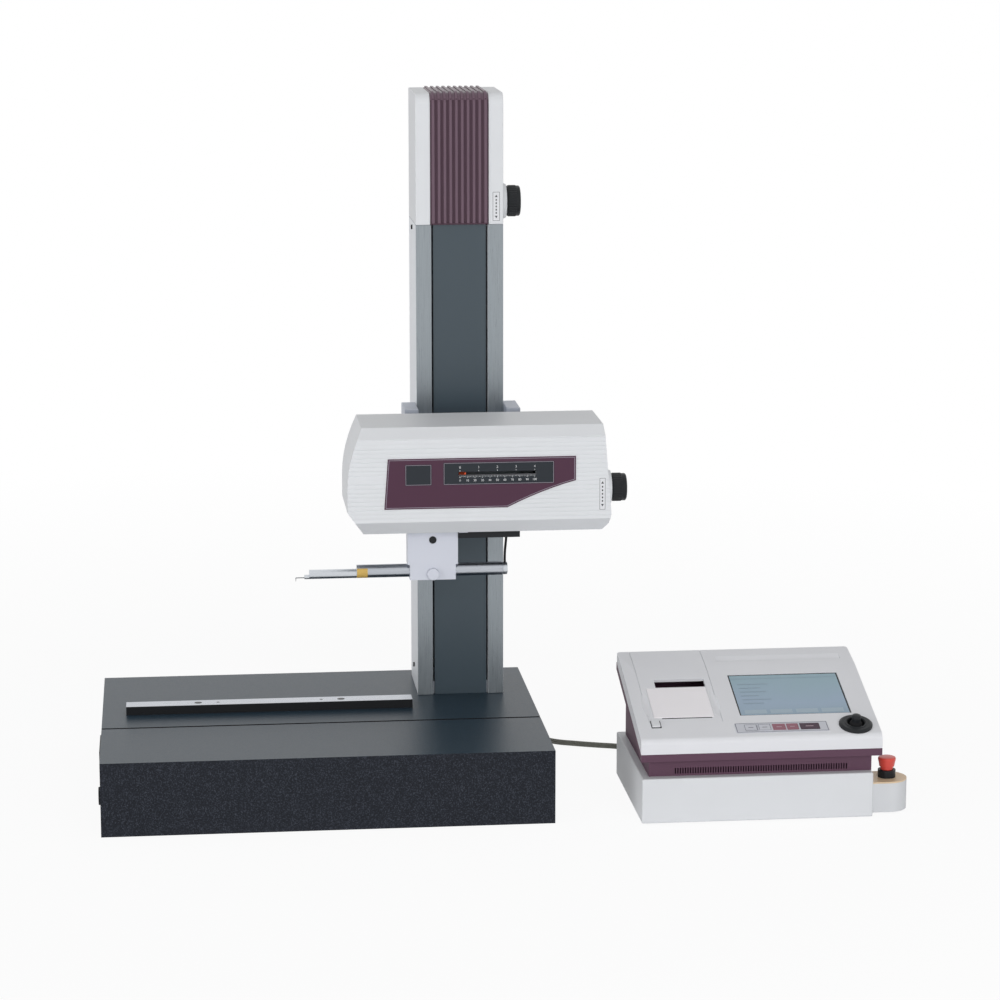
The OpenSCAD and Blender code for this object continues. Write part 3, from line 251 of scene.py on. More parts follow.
def grainedMat(name, hexColour, roughness, grainMm=0.6, bump=0.08, cloud=0.012, extra=None):
    mat, tree, shader, coords = newSurface(name, {"Roughness": roughness, **(extra or {})})
    grain = addNode(
        tree, "ShaderNodeTexNoise", {"Scale": perMetre(grainMm), "Detail": 2.0}, {"Vector": (coords, "Object")}
    )
    wide = addNode(
        tree, "ShaderNodeTexNoise", {"Scale": perMetre(mouldSet["cloudMm"]), "Detail": 2.0},
        {"Vector": (coords, "Object")},
    )
    tone = addNode(
        tree, "ShaderNodeMapRange", {**noiseSpan, "To Min": 1 - cloud, "To Max": 1 + cloud},
        {"Value": (wide, "Fac")},
    )
    base = addNode(
        tree, "ShaderNodeVectorMath", {"operation": "SCALE", 0: linear(hexColour)[:3]},
        {"Scale": (tone, "Result")},
    )
    tree.links.new(base.outputs["Vector"], shader.inputs["Base Color"])
    skin = addNode(
        tree, "ShaderNodeBump", {"Strength": bump, "Distance": grainMm * mm * mouldSet["grainDeep"]},
        {"Height": (grain, "Fac")},
    )
    tree.links.new(skin.outputs["Normal"], shader.inputs["Normal"])
    return mat


# ground or brushed metal: fine streaks along one axis, in colour and in gloss
# the streaks are drawn wider than a real belt's, so that they show
brushSet = {"stretch": 90, "roughSpan": (0.8, 1.25)}


def brushedMat(name, hexColour, roughness, along="Z", streakMm=0.35, metallic=1.0, contrast=0.10):
    mat, tree, shader, coords = newSurface(name, {"Metallic": metallic, "Roughness": roughness})
    stretch = [perMetre(streakMm)] * 3
    stretch["XYZ".index(along)] = perMetre(streakMm * brushSet["stretch"])
    place = addNode(tree, "ShaderNodeMapping", {"Scale": stretch}, {"Vector": (coords, "Object")})
    streak = addNode(tree, "ShaderNodeTexNoise", {"Scale": 1.0, "Detail": 3.0}, {"Vector": (place, "Vector")})
    tone = addNode(
        tree, "ShaderNodeMapRange", {**noiseSpan, "To Min": 1 - contrast, "To Max": 1 + contrast},
        {"Value": (streak, "Fac")},
    )
    base = addNode(
        tree, "ShaderNodeVectorMath", {"operation": "SCALE", 0: linear(hexColour)[:3]},
        {"Scale": (tone, "Result")},
    )
    tree.links.new(base.outputs["Vector"], shader.inputs["Base Color"])
    least, most = brushSet["roughSpan"]
    rough = addNode(
        tree, "ShaderNodeMapRange", {**noiseSpan, "To Min": roughness * least, "To Max": roughness * most},
        {"Value": (streak, "Fac")},
    )
    tree.links.new(rough.outputs["Result"], shader.inputs["Roughness"])
    return mat


dull = {"Specular IOR Level": 0.25}  # dark finishes with little gloss
mats = {
    "graniteTop": graniteMat("lappedGranitePaintedSheen", graniteSet["top"]),  # dark stone with a soft sheen; drawn bluer and lighter than the sides as painted sheen
    "graniteSide": graniteMat("honedGranite", graniteSet["side"]),  # the same stone, matt and speckled
    "white": grainedMat("whiteABS", "#DADCDF", 0.45),  # cool white moulding, soft gloss
    "lidWhiteLit": grainedMat("lidABSPaintedLight", "#F4F1F4", 0.45),  # the same white lightened for the lid: painted light
    "consoleWhiteLit": grainedMat("consoleABSPaintedLight", "#E0E1E5", 0.45),  # the same white a touch lighter on the console's top: painted light
    "offWhite": grainedMat("paintedAlloyWhite", "#D3D6DA", 0.42),  # smooth paint on alloy
    "burgundy": grainedMat("burgundyFilm", "#4A2E3F", 0.42, extra=dull),  # flat dark film
    "ribs": grainedMat("burgundyRubberLit", "#685460", 0.35, extra=dull),  # burgundy lightened on the ribs' fronts: painted light
    "ribShade": grainedMat("burgundyPaintedShade", "#47343F", 0.5, extra=dull),  # the same burgundy darkened on the flanks and between ribs: painted shade
    "lowerCase": grainedMat("burgundyABS", "#5C4252", 0.55, extra=dull),  # matt dark moulding
    "slate": grainedMat("slatePowderCoat", "#3A464E", 0.36, grainMm=0.9, bump=0.12),  # blue-grey, fine texture
    "rail": brushedMat("brushedAlloyRail", "#959CA1", 0.34, along="Z", metallic=0.8),  # upright streaks
    "railSide": brushedMat("anodisedRailSide", "#E6E9ED", 0.5, along="Z", metallic=0.1, contrast=0.05),  # pale
    "backPlate": grainedMat("greyPowderCoat", "#8B9198", 0.45),  # plain mid grey
    "groundSteel": brushedMat("groundSteel", "#B9BDC4", 0.28, along="X"),  # bright, long streaks
    "detector": brushedMat("satinAlloy", "#CFD3D8", 0.3, along="X", contrast=0.06),  # soft bright metal
    "holder": grainedMat("anodisedAlloy", "#CDD0DA", 0.4, grainMm=0.3),  # pale, faintly blue
    "carriage": grainedMat("greySpray", "#B2B8C4", 0.42),  # cool grey paint
    "darkSteel": brushedMat("darkSteel", "#6E7379", 0.38, along="Z"),  # dull grey metal
    "blackOxide": grainedMat("blackOxideSteel", "#1B1C1E", 0.35, grainMm=0.4, extra=dull),  # near black, low sheen
    "black": grainedMat("blackABS", "#1D1F22", 0.42, extra=dull),  # soft black moulding
    "rubber": grainedMat("blackRubber", "#18181A", 0.75, grainMm=0.8, bump=0.2, extra=dull),  # dead black, no sheen
    "cable": grainedMat("greyPVC", "#7C7C74", 0.5, grainMm=0.9, extra=dull),  # dull grey sheath
    "bronze": brushedMat("castBronze", "#A8814F", 0.4, along="Z", contrast=0.15),  # warm, rough streaks
    "stopRed": grainedMat("redPolycarbonate", "#DA4B40", 0.3, bump=0.03),  # clear bright red
    "yellow": grainedMat("yellowPrint", "#E8CFAD", 0.45),  # pale warm ink
    "paper": grainedMat("thermalPaper", "#EEEDE8", 0.8, grainMm=0.4),  # flat warm white
    "board": grainedMat("circuitBoard", "#2C5A3E", 0.5, grainMm=2.0, cloud=0.15),  # mottled green
    "ink": grainedMat("whiteInk", "#D9DADC", 0.5),  # plain white print
    "silver": grainedMat("silverInk", "#8F8792", 0.4),  # grey line, slight sheen
    "smoked": grainedMat("smokedAcrylic", "#272C32", 0.18, grainMm=3.0, bump=0.01, extra=dull),  # dark and glossy
    "pointer": grainedMat("redPointer", "#D4552F", 0.4, bump=0.02),  # orange-red mark
    "tubeYellow": grainedMat("yellowTape", "#CBA95C", 0.45),  # dull ochre tape
}
print("materials ready:", len(mats))


def only(obj):
    bpy.ops.object.select_all(action="DESELECT")
    obj.select_set(True)
    bpy.context.view_layer.objects.active = obj


def bevelPiece(obj, width, segments=3, angle=32):
    only(obj)
    soft = obj.modifiers.new("softEdge", "BEVEL")
    soft.width = width
    soft.segments = segments
    soft.limit_method = "ANGLE"
    soft.angle_limit = math.radians(angle)
    soft.loop_slide = False  # even widths where a seam meets the edge at a slant
    bpy.ops.object.modifier_apply(modifier=soft.name)


def bevelEdges(obj, test, width, segments=6):
    # rounds only the edges whose two ends pass the test
    only(obj)
    bpy.ops.object.mode_set(mode="EDIT")
    bpy.ops.mesh.select_mode(type="EDGE")
    bpy.ops.mesh.select_all(action="DESELECT")
    bpy.ops.object.mode_set(mode="OBJECT")
    verts = obj.data.vertices
    for edge in obj.data.edges:
        edge.select = all(test(verts[i].co) for i in edge.vertices)
    bpy.ops.object.mode_set(mode="EDIT")
    bpy.ops.mesh.bevel(offset=width, segments=segments, affect="EDGES", clamp_overlap=True)
    bpy.ops.object.mode_set(mode="OBJECT")


def smoothPiece(obj, angle=38):
    only(obj)
    bpy.ops.object.shade_smooth_by_angle(angle=math.radians(angle))
    even = obj.modifiers.new("evenNormals", "WEIGHTED_NORMAL")
    even.keep_sharp = True
    bpy.ops.object.modifier_apply(modifier=even.name)


# gaps in metres that are welded, and the bend in degrees up to which faces count as one
weldSet = {"gap": 0.000002, "spinGap": 0.000005, "flat": 0.6}


# a solid's mesh as one welded surface with flat faces joined
def copyNode(node, name):
    bpy.ops.object.select_all(action="DESELECT")
    piece = frame["nodes"][node].copy()
    piece.data = frame["nodes"][node].data.copy()
    piece.name = piece.data.name = name
    for key in list(piece.keys()):
        del piece[key]
    piece.data.materials.clear()
    bpy.context.scene.collection.objects.link(piece)
    only(piece)
    bpy.ops.object.mode_set(mode="EDIT")
    bpy.ops.mesh.select_all(action="SELECT")
    bpy.ops.mesh.remove_doubles(threshold=weldSet["gap"])
    bpy.ops.mesh.dissolve_limited(angle_limit=math.radians(weldSet["flat"]))
    bpy.ops.mesh.normals_make_consistent(inside=False)
    bpy.ops.object.mode_set(mode="OBJECT")
    return piece


# hands a finished piece its material, the body it rides on and the solids it stands for
def settle(piece, mat, node, takesPlace=True):
    piece.data.materials.append(mats[mat])
    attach(piece, bodyOf[node])
    if takesPlace:
        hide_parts(node)
    return piece


# pieces kept in their machined shape: welded, edges broken by so many millimetres, finish put on
dressSet = {
    "side_caps": ("black", 0.6), "stand_screws": ("blackOxide", 0.25), "column_rail_left": ("rail", 0.8),
    "column_rail_right": ("rail", 0.8), "column_cover": ("slate", 0.4), "column_back": ("backPlate", 0.8),
    "column_foot": ("backPlate", 0.5), "head_plate": ("offWhite", 0.5), "head_cover": ("white", 1.0),
    "head_rib_strip": ("ribs", 0.85), "motor_bracket": ("backPlate", 0.4), "z_motor": ("black", 0.6),
    "z_bearings": ("darkSteel", 0.3), "z_screw": ("darkSteel", 0.2), "z_knob": ("black", 0.4),
    "z_nut": ("bronze", 0.4), "carriage": ("carriage", 1.0), "guide_pads": ("black", 0.2),
    "drive_frame": ("backPlate", 0.4), "x_rail": ("darkSteel", 0.3), "x_motor": ("black", 0.5),
    "x_screw": ("darkSteel", 0.2), "x_knob": ("black", 0.4), "x_slider": ("black", 0.4),
    "scale_pointer": ("pointer", 0.1), "detector_holder": ("holder", 0.8),
    "detector_tube": ("groundSteel", 0.4), "tube_end_cap": ("detector", 0.8),
    "detector_body": ("detector", 0.4), "stylus_arm": ("darkSteel", 0.05), "stand_cable_gland": ("black", 0.4),
    "link_plug": ("black", 0.5), "console_plinth": ("white", 3.0), "plinth_floor": ("backPlate", 0.3),
    "rubber_feet": ("rubber", 0.3), "power_supply": ("backPlate", 0.6), "estop_pod": ("white", 1.0),
    "estop_plate": ("yellow", 0.3), "estop_collar": ("black", 0.4), "console_lower_case": ("lowerCase", 0.6),
    "main_board": ("board", 0.2), "printer_frame": ("backPlate", 0.3), "paper_roll": ("paper", 0.2),
    # the lid's white is lightened: painted light
    "printer_lid": ("lidWhiteLit", 0.8), "lid_latch": ("white", 0.5), "joystick_bezel": ("black", 0.5),
    "joystick_gimbal": ("darkSteel", 0.2), "joystick_stick": ("black", 0.5),
}


def dressAll():
    for node, (mat, edge) in dressSet.items():
        piece = copyNode(node, node + "Look")
        bevelPiece(piece, edge * mm)
        smoothPiece(piece)
        settle(piece, mat, node)


facing = 0.9  # a face turned this far to an axis belongs to that side, with its narrow edge strips
squareOn = 0.95  # the same without the edge strips


# second finish on faces that the test picks
def refinish(piece, mat, test):
    piece.data.materials.append(mats[mat])
    for face in piece.data.polygons:
        if test(face):
            face.material_index = len(piece.data.materials) - 1


# the rails' outer sides are paler; the ribs' flanks and the floors between them are darkened with painted shade
ribSet = {"flank": 0.75, "floorDeep": 1.2}


def refinishColumn():
    for side in ("left", "right"):
        rail = bpy.data.objects["column_rail_%sLook" % side]
        refinish(rail, "railSide", lambda f: abs(f.normal.x) > facing)
    strip = bpy.data.objects["head_rib_stripLook"]
    floor = min(v.co.y for v in strip.data.vertices) + ribSet["floorDeep"] * mm
    # painted shade: the darker burgundy goes on the ribs' flanks and on the floors between them
    refinish(
        strip, "ribShade",
        lambda f: abs(f.normal.x) > ribSet["flank"] or f.normal.y < -facing and f.center.y > floor,
    )


dressAll()
refinishColumn()
print("machined pieces dressed")


# granite: chamfered block, lapped on top with a painted sheen, its cross groove painted black as shade
grooveSet = {"edge": 1.2, "y": -53, "half": 2.6, "aboveZ": 90}


def dressGranite():
    base = copyNode("granite_base", "graniteLook")
    bevelPiece(base, grooveSet["edge"] * mm, 2)
    smoothPiece(base)
    settle(base, "graniteSide", "granite_base")
    refinish(base, "graniteTop", lambda f: f.normal.z > facing)
    y, half, floor = grooveSet["y"] * mm, grooveSet["half"] * mm, grooveSet["aboveZ"] * mm
    # the groove's walls and floor take the black rubber finish: painted shade in the recess
    refinish(base, "rubber", lambda f: abs(f.center.y - y) < half and f.center.z > floor)


dressGranite()
print("granite done")


# shaping helpers: sizes in millimetres, place kept in the mesh
def blockPiece(name, low, high):
    bpy.ops.object.select_all(action="DESELECT")
    middle = [(a + b) / 2 * mm for a, b in zip(low, high)]
    bpy.ops.mesh.primitive_cube_add(size=1, location=middle)
    piece = bpy.context.object
    piece.name = piece.data.name = name
    piece.scale = [(b - a) * mm for a, b in zip(low, high)]
    bpy.ops.object.transform_apply(location=True, rotation=False, scale=True)
    return piece


def turnPiece(name, at, axis, profile, steps=64, angle=360.0, start=0.0):
    # profile of (radius, height) spun about an axis through the point
    mesh = bpy.data.meshes.new(name)
    first = math.radians(start)
    rows = [(r * mm * math.cos(first), r * mm * math.sin(first), h * mm) for r, h in profile]
    mesh.from_pydata(rows, [(i, i + 1) for i in range(len(rows) - 1)], [])
    piece = bpy.data.objects.new(name, mesh)
    bpy.context.scene.collection.objects.link(piece)
    only(piece)
    bpy.ops.object.mode_set(mode="EDIT")
    bpy.ops.mesh.select_all(action="SELECT")
    bpy.ops.mesh.spin(steps=steps, angle=math.radians(angle), center=(0, 0, 0), axis=(0, 0, 1))
    bpy.ops.mesh.select_all(action="SELECT")
    bpy.ops.mesh.remove_doubles(threshold=weldSet["spinGap"])
    bpy.ops.mesh.normals_make_consistent(inside=False)
    bpy.ops.object.mode_set(mode="OBJECT")
    turns = {"X": (0, math.pi / 2, 0), "Y": (math.pi / 2, 0, 0), "Z": (0, 0, 0)}
    piece.rotation_euler = turns[axis]
    piece.location = Vector(at) * mm
    only(piece)
    bpy.ops.object.transform_apply(location=True, rotation=True, scale=False)
    return piece


def joinPieces(name, pieces):
    bpy.ops.object.select_all(action="DESELECT")
    for piece in pieces:
        piece.select_set(True)
    bpy.context.view_layer.objects.active = pieces[0]
    bpy.ops.object.join()
    pieces[0].name = pieces[0].data.name = name
    return pieces[0]


def pickFaces(piece, test):
    # leaves edit mode on, with only the faces that pass the test selected
    only(piece)
    bpy.ops.object.mode_set(mode="EDIT")
    bpy.ops.mesh.select_mode(type="FACE")
    bpy.ops.mesh.select_all(action="DESELECT")
    bpy.ops.object.mode_set(mode="OBJECT")
    for face in piece.data.polygons:
        face.select = test(face)
    bpy.ops.object.mode_set(mode="EDIT")


def outlineFaces(piece, border, line):
    # a line in the second finish inside the picked faces: margin first, then the line itself
    bpy.ops.mesh.inset(thickness=border * mm, depth=0)
    piece.active_material_index = 1
    bpy.ops.object.material_slot_assign()
    bpy.ops.mesh.inset(thickness=line * mm, depth=0)
    piece.active_material_index = 0
    bpy.ops.object.material_slot_assign()
    bpy.ops.object.mode_set(mode="OBJECT")


def printText(name, text, at, height, thick):
    # flat upright lettering, centred on a point
    bpy.ops.object.select_all(action="DESELECT")
    bpy.ops.object.text_add(location=Vector(at) * mm, rotation=(math.pi / 2, 0, 0))
    words = bpy.context.object
    words.data.body = text
    words.data.size = height * mm
    words.data.align_x = "CENTER"
    words.data.align_y = "CENTER"
    words.data.extrude = thick * mm
    words.data.resolution_u = 3
    bpy.ops.object.convert(target="MESH")
    bpy.ops.object.transform_apply(location=True, rotation=True, scale=True)
    words = bpy.context.object
    words.name = words.data.name = name
    return words


# front panel: burgundy film with a silver line, two smoked windows and the printed scale
panelSet = {
    "border": 1.5, "line": 0.7, "windowBorder": 0.5, "windowLine": 0.55,
    "windowFace": -125.72, "scaleStart": 183.0, "scaleLen": 100.0, "inkThick": 0.03,
    "slit": {"x": (178, 290), "z": 457.0, "half": 5},
    "digits": [
        {"name": "upperDigit", "steps": 4, "unit": 1, "z": 465.3, "height": 4.4},
        {"name": "lowerDigit", "steps": 10, "unit": 10, "z": 447.6, "height": 4.0},
    ],
    "ticks": [
        {"step": 2, "z": (452.2, 454.2), "width": 0.35},
        {"step": 10, "z": (451.2, 454.2), "width": 0.6},
        {"step": 25, "z": (459.9, 461.6), "width": 0.6},
    ],
    "tickHalf": 0.04,
}


def buildPanel():
    look = panelSet
    panel = settle(copyNode("front_panel", "frontPanelLook"), "burgundy", "front_panel")
    panel.data.materials.append(mats["silver"])
    pickFaces(panel, lambda f: f.normal.y < -facing)
    outlineFaces(panel, look["border"], look["line"])
    smoothPiece(panel)
    windows = settle(copyNode("panel_windows", "panelWindowsLook"), "smoked", "panel_windows")
    windows.data.materials.append(mats["silver"])
    pickFaces(windows, lambda f: f.normal.y < -facing)
    bpy.ops.mesh.dissolve_faces()
    outlineFaces(windows, look["windowBorder"], look["windowLine"])
    slit = look["slit"]
    left, right = slit["x"]
    for face in windows.data.polygons:  # the slit keeps no line round it
        level = abs(face.center.z - slit["z"] * mm) < slit["half"] * mm
        if level and left * mm < face.center.x < right * mm:
            face.material_index = 0
    smoothPiece(windows)

    start, face = look["scaleStart"], look["windowFace"]
    words = []
    for row in look["digits"]:
        for i in range(row["steps"] + 1):
            at = (start + i * look["scaleLen"] / row["steps"], face, row["z"])
            words.append(printText(row["name"], str(i * row["unit"]), at, row["height"], look["inkThick"]))
    thick = look["tickHalf"]
    for mark in look["ticks"]:
        low, high = mark["z"]
        half = mark["width"] / 2
        tick = blockPiece("scaleTick", (start - half, face - thick, low), (start + half, face + thick, high))
        row = tick.modifiers.new("row", "ARRAY")
        row.use_relative_offset = False
        row.use_constant_offset = True
        row.constant_offset_displace = (mark["step"] * mm, 0, 0)
        row.count = int(look["scaleLen"] / mark["step"]) + 1
        bpy.ops.object.modifier_apply(modifier=row.name)
        words.append(tick)
    scale = joinPieces("scalePrint", words)
    settle(scale, "ink", "panel_windows", takesPlace=False)


buildPanel()
print("panel done")


# traverse unit's cover: moulded shell with fine level grooves over its front
coverSet = {
    "edge": 1.6, "groovePitch": 5.9, "firstZ": 396.5, "lastZ": 503.5, "half": 0.75, "deep": 0.9,
    "frontY": -124.3, "near": 0.02, "smooth": 22,
}


def buildCover():
    look = coverSet
    cover = copyNode("drive_cover", "driveCoverLook")
    bevelPiece(cover, look["edge"] * mm)
    z = look["firstZ"]
    centres = []
    while z < look["lastZ"]:
        centres.append(z * mm)
        only(cover)
        bpy.ops.object.mode_set(mode="EDIT")
        for shift in (-look["half"], 0, look["half"]):
            bpy.ops.mesh.select_all(action="SELECT")
            bpy.ops.mesh.bisect(plane_co=(0, 0, (z + shift) * mm), plane_no=(0, 0, 1))
        bpy.ops.object.mode_set(mode="OBJECT")
        z += look["groovePitch"]
    for vert in cover.data.vertices:
        onFront = vert.co.y < (look["frontY"] + look["near"]) * mm
        if onFront and any(abs(vert.co.z - c) < look["near"] * mm for c in centres):
            vert.co.y += look["deep"] * mm
    smoothPiece(cover, look["smooth"])
    settle(cover, "white", "drive_cover")


buildCover()
print("drive cover done")


# console: everything on its top is built level and then laid on the slope
consoleSet = {
    "origin": (411.5, -245.0, 115.0), "slope": 16.2,
    "frontRound": 6.5, "cornerRound": 5.0, "edge": 1.2, "cutterEdge": 0.3, "lineEdge": 0.05, "near": 0.3,
    "seams": [((17.2, 44, -1.2), (17.8, 260, 1)), ((116.2, 44, -1.2), (116.8, 260, 1))],
    "rearGroove": ((133.5, 204, -2.6), (308.5, 221, 3)), "rearClimb": 2.5,
    "scoops": {"places": [(19.4, 92, 2.5), (113.6, 92, 2.5)], "radii": (6.4, 40, 4.7)},
    "rearBend": {"s": 188, "drop": 5.0, "down": -10},
    "paintedShadeLines": [  # painted shade: black strips in the lid's front gap and round the latch
        ((36, 54.4, -0.2), (104, 56.4, 0.08)),
        ((18.6, 31.6, -0.2), (32.2, 50.2, 0.06)),
    ],
}
slopeAngle = math.radians(consoleSet["slope"])
slopeAlong = Vector((0, math.cos(slopeAngle), math.sin(slopeAngle)))
slopeUp = Vector((0, -math.sin(slopeAngle), math.cos(slopeAngle)))


def laySlope(piece):
    only(piece)
    piece.rotation_euler = (slopeAngle, 0, 0)
    piece.location = Vector(consoleSet["origin"]) * mm
    bpy.ops.object.transform_apply(location=True, rotation=True, scale=False)
    return piece


def cutAway(piece, cutter):
    only(piece)
    cut = piece.modifiers.new("cut", "BOOLEAN")
    cut.operation = "DIFFERENCE"
    cut.object = cutter
    bpy.ops.object.modifier_apply(modifier=cut.name)
    bpy.data.objects.remove(cutter, do_unlink=True)


def buildConsoleTop():
    look = consoleSet
    low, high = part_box("console_top_case")
    origin = Vector(look["origin"]) * mm
    top = copyNode("console_top_case", "consoleTopLook")
    near = look["near"] * mm
    bevelEdges(top, lambda v: abs(v.y - origin.y) < near and abs(v.z - origin.z) < near, look["frontRound"] * mm)
    for side in (low.x, high.x):
        bevelEdges(top, lambda v: abs(v.x - side) < near and v.y > high.y - near, look["cornerRound"] * mm)
    bevelPiece(top, look["edge"] * mm)
    for corners in look["seams"]:
        cutAway(top, laySlope(blockPiece("seamCutter", *corners)))
    groove = blockPiece("grooveCutter", *look["rearGroove"])
    front, back = look["rearGroove"][0][1], look["rearGroove"][1][1]
    for vert in groove.data.vertices:  # floor climbs to the back, so that it turns to the light
        if vert.co.z < 0:
            vert.co.z += (vert.co.y / mm - front) / (back - front) * look["rearClimb"] * mm
    bevelPiece(groove, look["cutterEdge"] * mm, 2)
    cutAway(top, laySlope(groove))
    for at in look["scoops"]["places"]:
        bpy.ops.object.select_all(action="DESELECT")
        bpy.ops.mesh.primitive_uv_sphere_add(segments=48, ring_count=24, radius=1, location=Vector(at) * mm)
        cutter = bpy.context.object
        cutter.scale = Vector(look["scoops"]["radii"]) * mm
        bpy.ops.object.transform_apply(location=True, rotation=False, scale=True)
        cutAway(top, laySlope(cutter))
    bend = look["rearBend"]
    only(top)
    bpy.ops.object.mode_set(mode="EDIT")
    bpy.ops.mesh.select_all(action="SELECT")
    bpy.ops.mesh.bisect(plane_co=origin + slopeAlong * bend["s"] * mm, plane_no=slopeAlong)
    bpy.ops.object.mode_set(mode="OBJECT")
    for vert in top.data.vertices:  # the rear strip lies flatter than the keys
        past = (vert.co - origin).dot(slopeAlong) - bend["s"] * mm
        if past > 0 and (vert.co - origin).dot(slopeUp) > bend["down"] * mm:
            vert.co.z -= past * math.tan(math.radians(bend["drop"]))
    smoothPiece(top, 30)
    # the lightened white on the sloped top is painted light
    settle(top, "consoleWhiteLit", "console_top_case")
    # black blocks in the rubber finish laid in the lid's front gap and round the latch: painted shade
    blocks = [blockPiece("paintedShadeLine", *corners) for corners in look["paintedShadeLines"]]
    lines = laySlope(joinPieces("paintedShadeLines", blocks))
    bevelPiece(lines, look["lineEdge"] * mm, 1)
    settle(lines, "rubber", "console_top_case", takesPlace=False)


buildConsoleTop()


# screen: grey-blue liquid crystal inside a thin black frame that paints the shade of its recess, palest across its
# middle
screenSet = {
    "x": (142.5, 294.5), "s": (58, 165), "edge": 0.1, "frame": 1.8,
    "level": -0.88, "inkThick": 0.05, "inkEdge": 0.02,  # the print lies just above the sunk glass
    "colours": [(0.0, "#8FA5B2"), (0.45, "#9CB0C4"), (0.8, "#96B0BC"), (1.0, "#88A6B0")],
    "toneY": (-0.205, -0.075), "toneTop": 0.8, "cloudMm": 55, "cloudShare": 0.3,
    "rows": {"widths": (42, 30, 36, 24, 40, 28), "inset": 10, "first": 26, "pitch": 10, "tall": 2},
    "bar": {"inset": 3, "down": (11, 9.6)},
    "softKeys": {"count": 4, "inset": 8, "pitch": 35, "wide": 30, "s": (5, 15)},
}


def screenMat():
    mat, tree, shader, coords = newSurface("liquidCrystal", {"Roughness": 0.22, "Specular IOR Level": 0.3})
    across = addNode(tree, "ShaderNodeSeparateXYZ", None, {"Vector": (coords, "Object")})
    wide = addNode(
        tree, "ShaderNodeTexNoise", {"Scale": perMetre(screenSet["cloudMm"]), "Detail": 1.0},
        {"Vector": (coords, "Object")},
    )
    front, back = screenSet["toneY"]
    rise = addNode(
        tree, "ShaderNodeMapRange",
        {"From Min": front, "From Max": back, "To Min": 0.0, "To Max": screenSet["toneTop"]},
        {"Value": (across, "Y")},
    )
    both = addNode(
        tree, "ShaderNodeMath", {"operation": "MULTIPLY_ADD", 1: screenSet["cloudShare"]},
        {0: (wide, "Fac"), 2: (rise, "Result")},
    )
    ramp = addNode(tree, "ShaderNodeValToRGB", None, {"Fac": (both, 0)})
    setRamp(ramp, screenSet["colours"])
    tree.links.new(ramp.outputs["Color"], shader.inputs["Base Color"])
    return mat


mats["screen"] = screenMat()
mats["screenInk"] = grainedMat("crystalInk", "#8499A8", 0.3, bump=0.0)  # darkened crystal, barely seen
mats["screenPale"] = grainedMat("crystalPale", "#9DB0BD", 0.3, bump=0.0)  # lit crystal, barely seen


def buildScreen():
    look = screenSet
    panel = settle(copyNode("screen_panel", "screenPanelLook"), "screen", "screen_panel")
    panel.data.materials.append(mats["black"])
    pickFaces(panel, lambda f: f.normal.dot(slopeUp) > squareOn)
    # the black frame round the crystal is painted shade of the recess edge
    outlineFaces(panel, look["edge"], look["frame"])
    smoothPiece(panel)
    (x0, x1), (s0, s1) = look["x"], look["s"]
    level = look["level"]
    above = level + look["inkThick"]
    lines, bar, keys = look["rows"], look["bar"], look["softKeys"]
    ink = []
    for i, width in enumerate(lines["widths"]):  # faint generic lines of a readout
        x, s = x0 + lines["inset"], s1 - lines["first"] - i * lines["pitch"]
        ink.append(blockPiece("readoutRow", (x, s, level), (x + width, s + lines["tall"], above)))
    (low, high), inset = bar["down"], bar["inset"]
    ink.append(blockPiece("readoutBar", (x0 + inset, s1 - low, level), (x1 - inset, s1 - high, above)))
    pale = []
    for i in range(keys["count"]):
        x = x0 + keys["inset"] + i * keys["pitch"]
        low, high = keys["s"]
        pale.append(blockPiece("softKey", (x, s0 + low, level), (x + keys["wide"], s0 + high, above)))
    for name, blocks, mat in (("readoutInk", ink, "screenInk"), ("readoutKeys", pale, "screenPale")):
        marks = laySlope(joinPieces(name, blocks))
        bevelPiece(marks, look["inkEdge"] * mm, 1)
        settle(marks, mat, "screen_panel", takesPlace=False)


buildScreen()


# membrane keys: white film with a dark line round it, two pale, two burgundy and one dark key
keySet = {
    "film": ((130.5, 13, 0), (255.5, 37, 0.8)), "filmEdge": 0.25, "filmLine": (0.3, 0.9),
    "keyS": (17.5, 32.5), "rise": (0.75, 1.3), "keyEdge": 0.3, "keyLine": (0.2, 0.6),
    "mark": {"share": (0.3, 0.7), "s": (24.2, 25.4), "thick": 0.06, "edge": 0.02},
    "keys": [(12, 17, "film"), (31, 16.5, "film"), (50, 17.5, "rose"), (69, 15.5, "rose"), (87, 26, "plum")],
}
mats["film"] = grainedMat("printedFilm", "#C6C8D0", 0.4)  # pale grey key film
mats["filmLine"] = grainedMat("filmLine", "#565869", 0.45)  # dark blue-grey print
mats["rose"] = grainedMat("roseKey", "#8A5564", 0.42)  # dusty red key
mats["plum"] = grainedMat("plumKey", "#43303E", 0.42, extra=dull)  # dark key
mats["paleInk"] = grainedMat("paleKeyInk", "#B9A2AC", 0.45)  # print on the dark keys


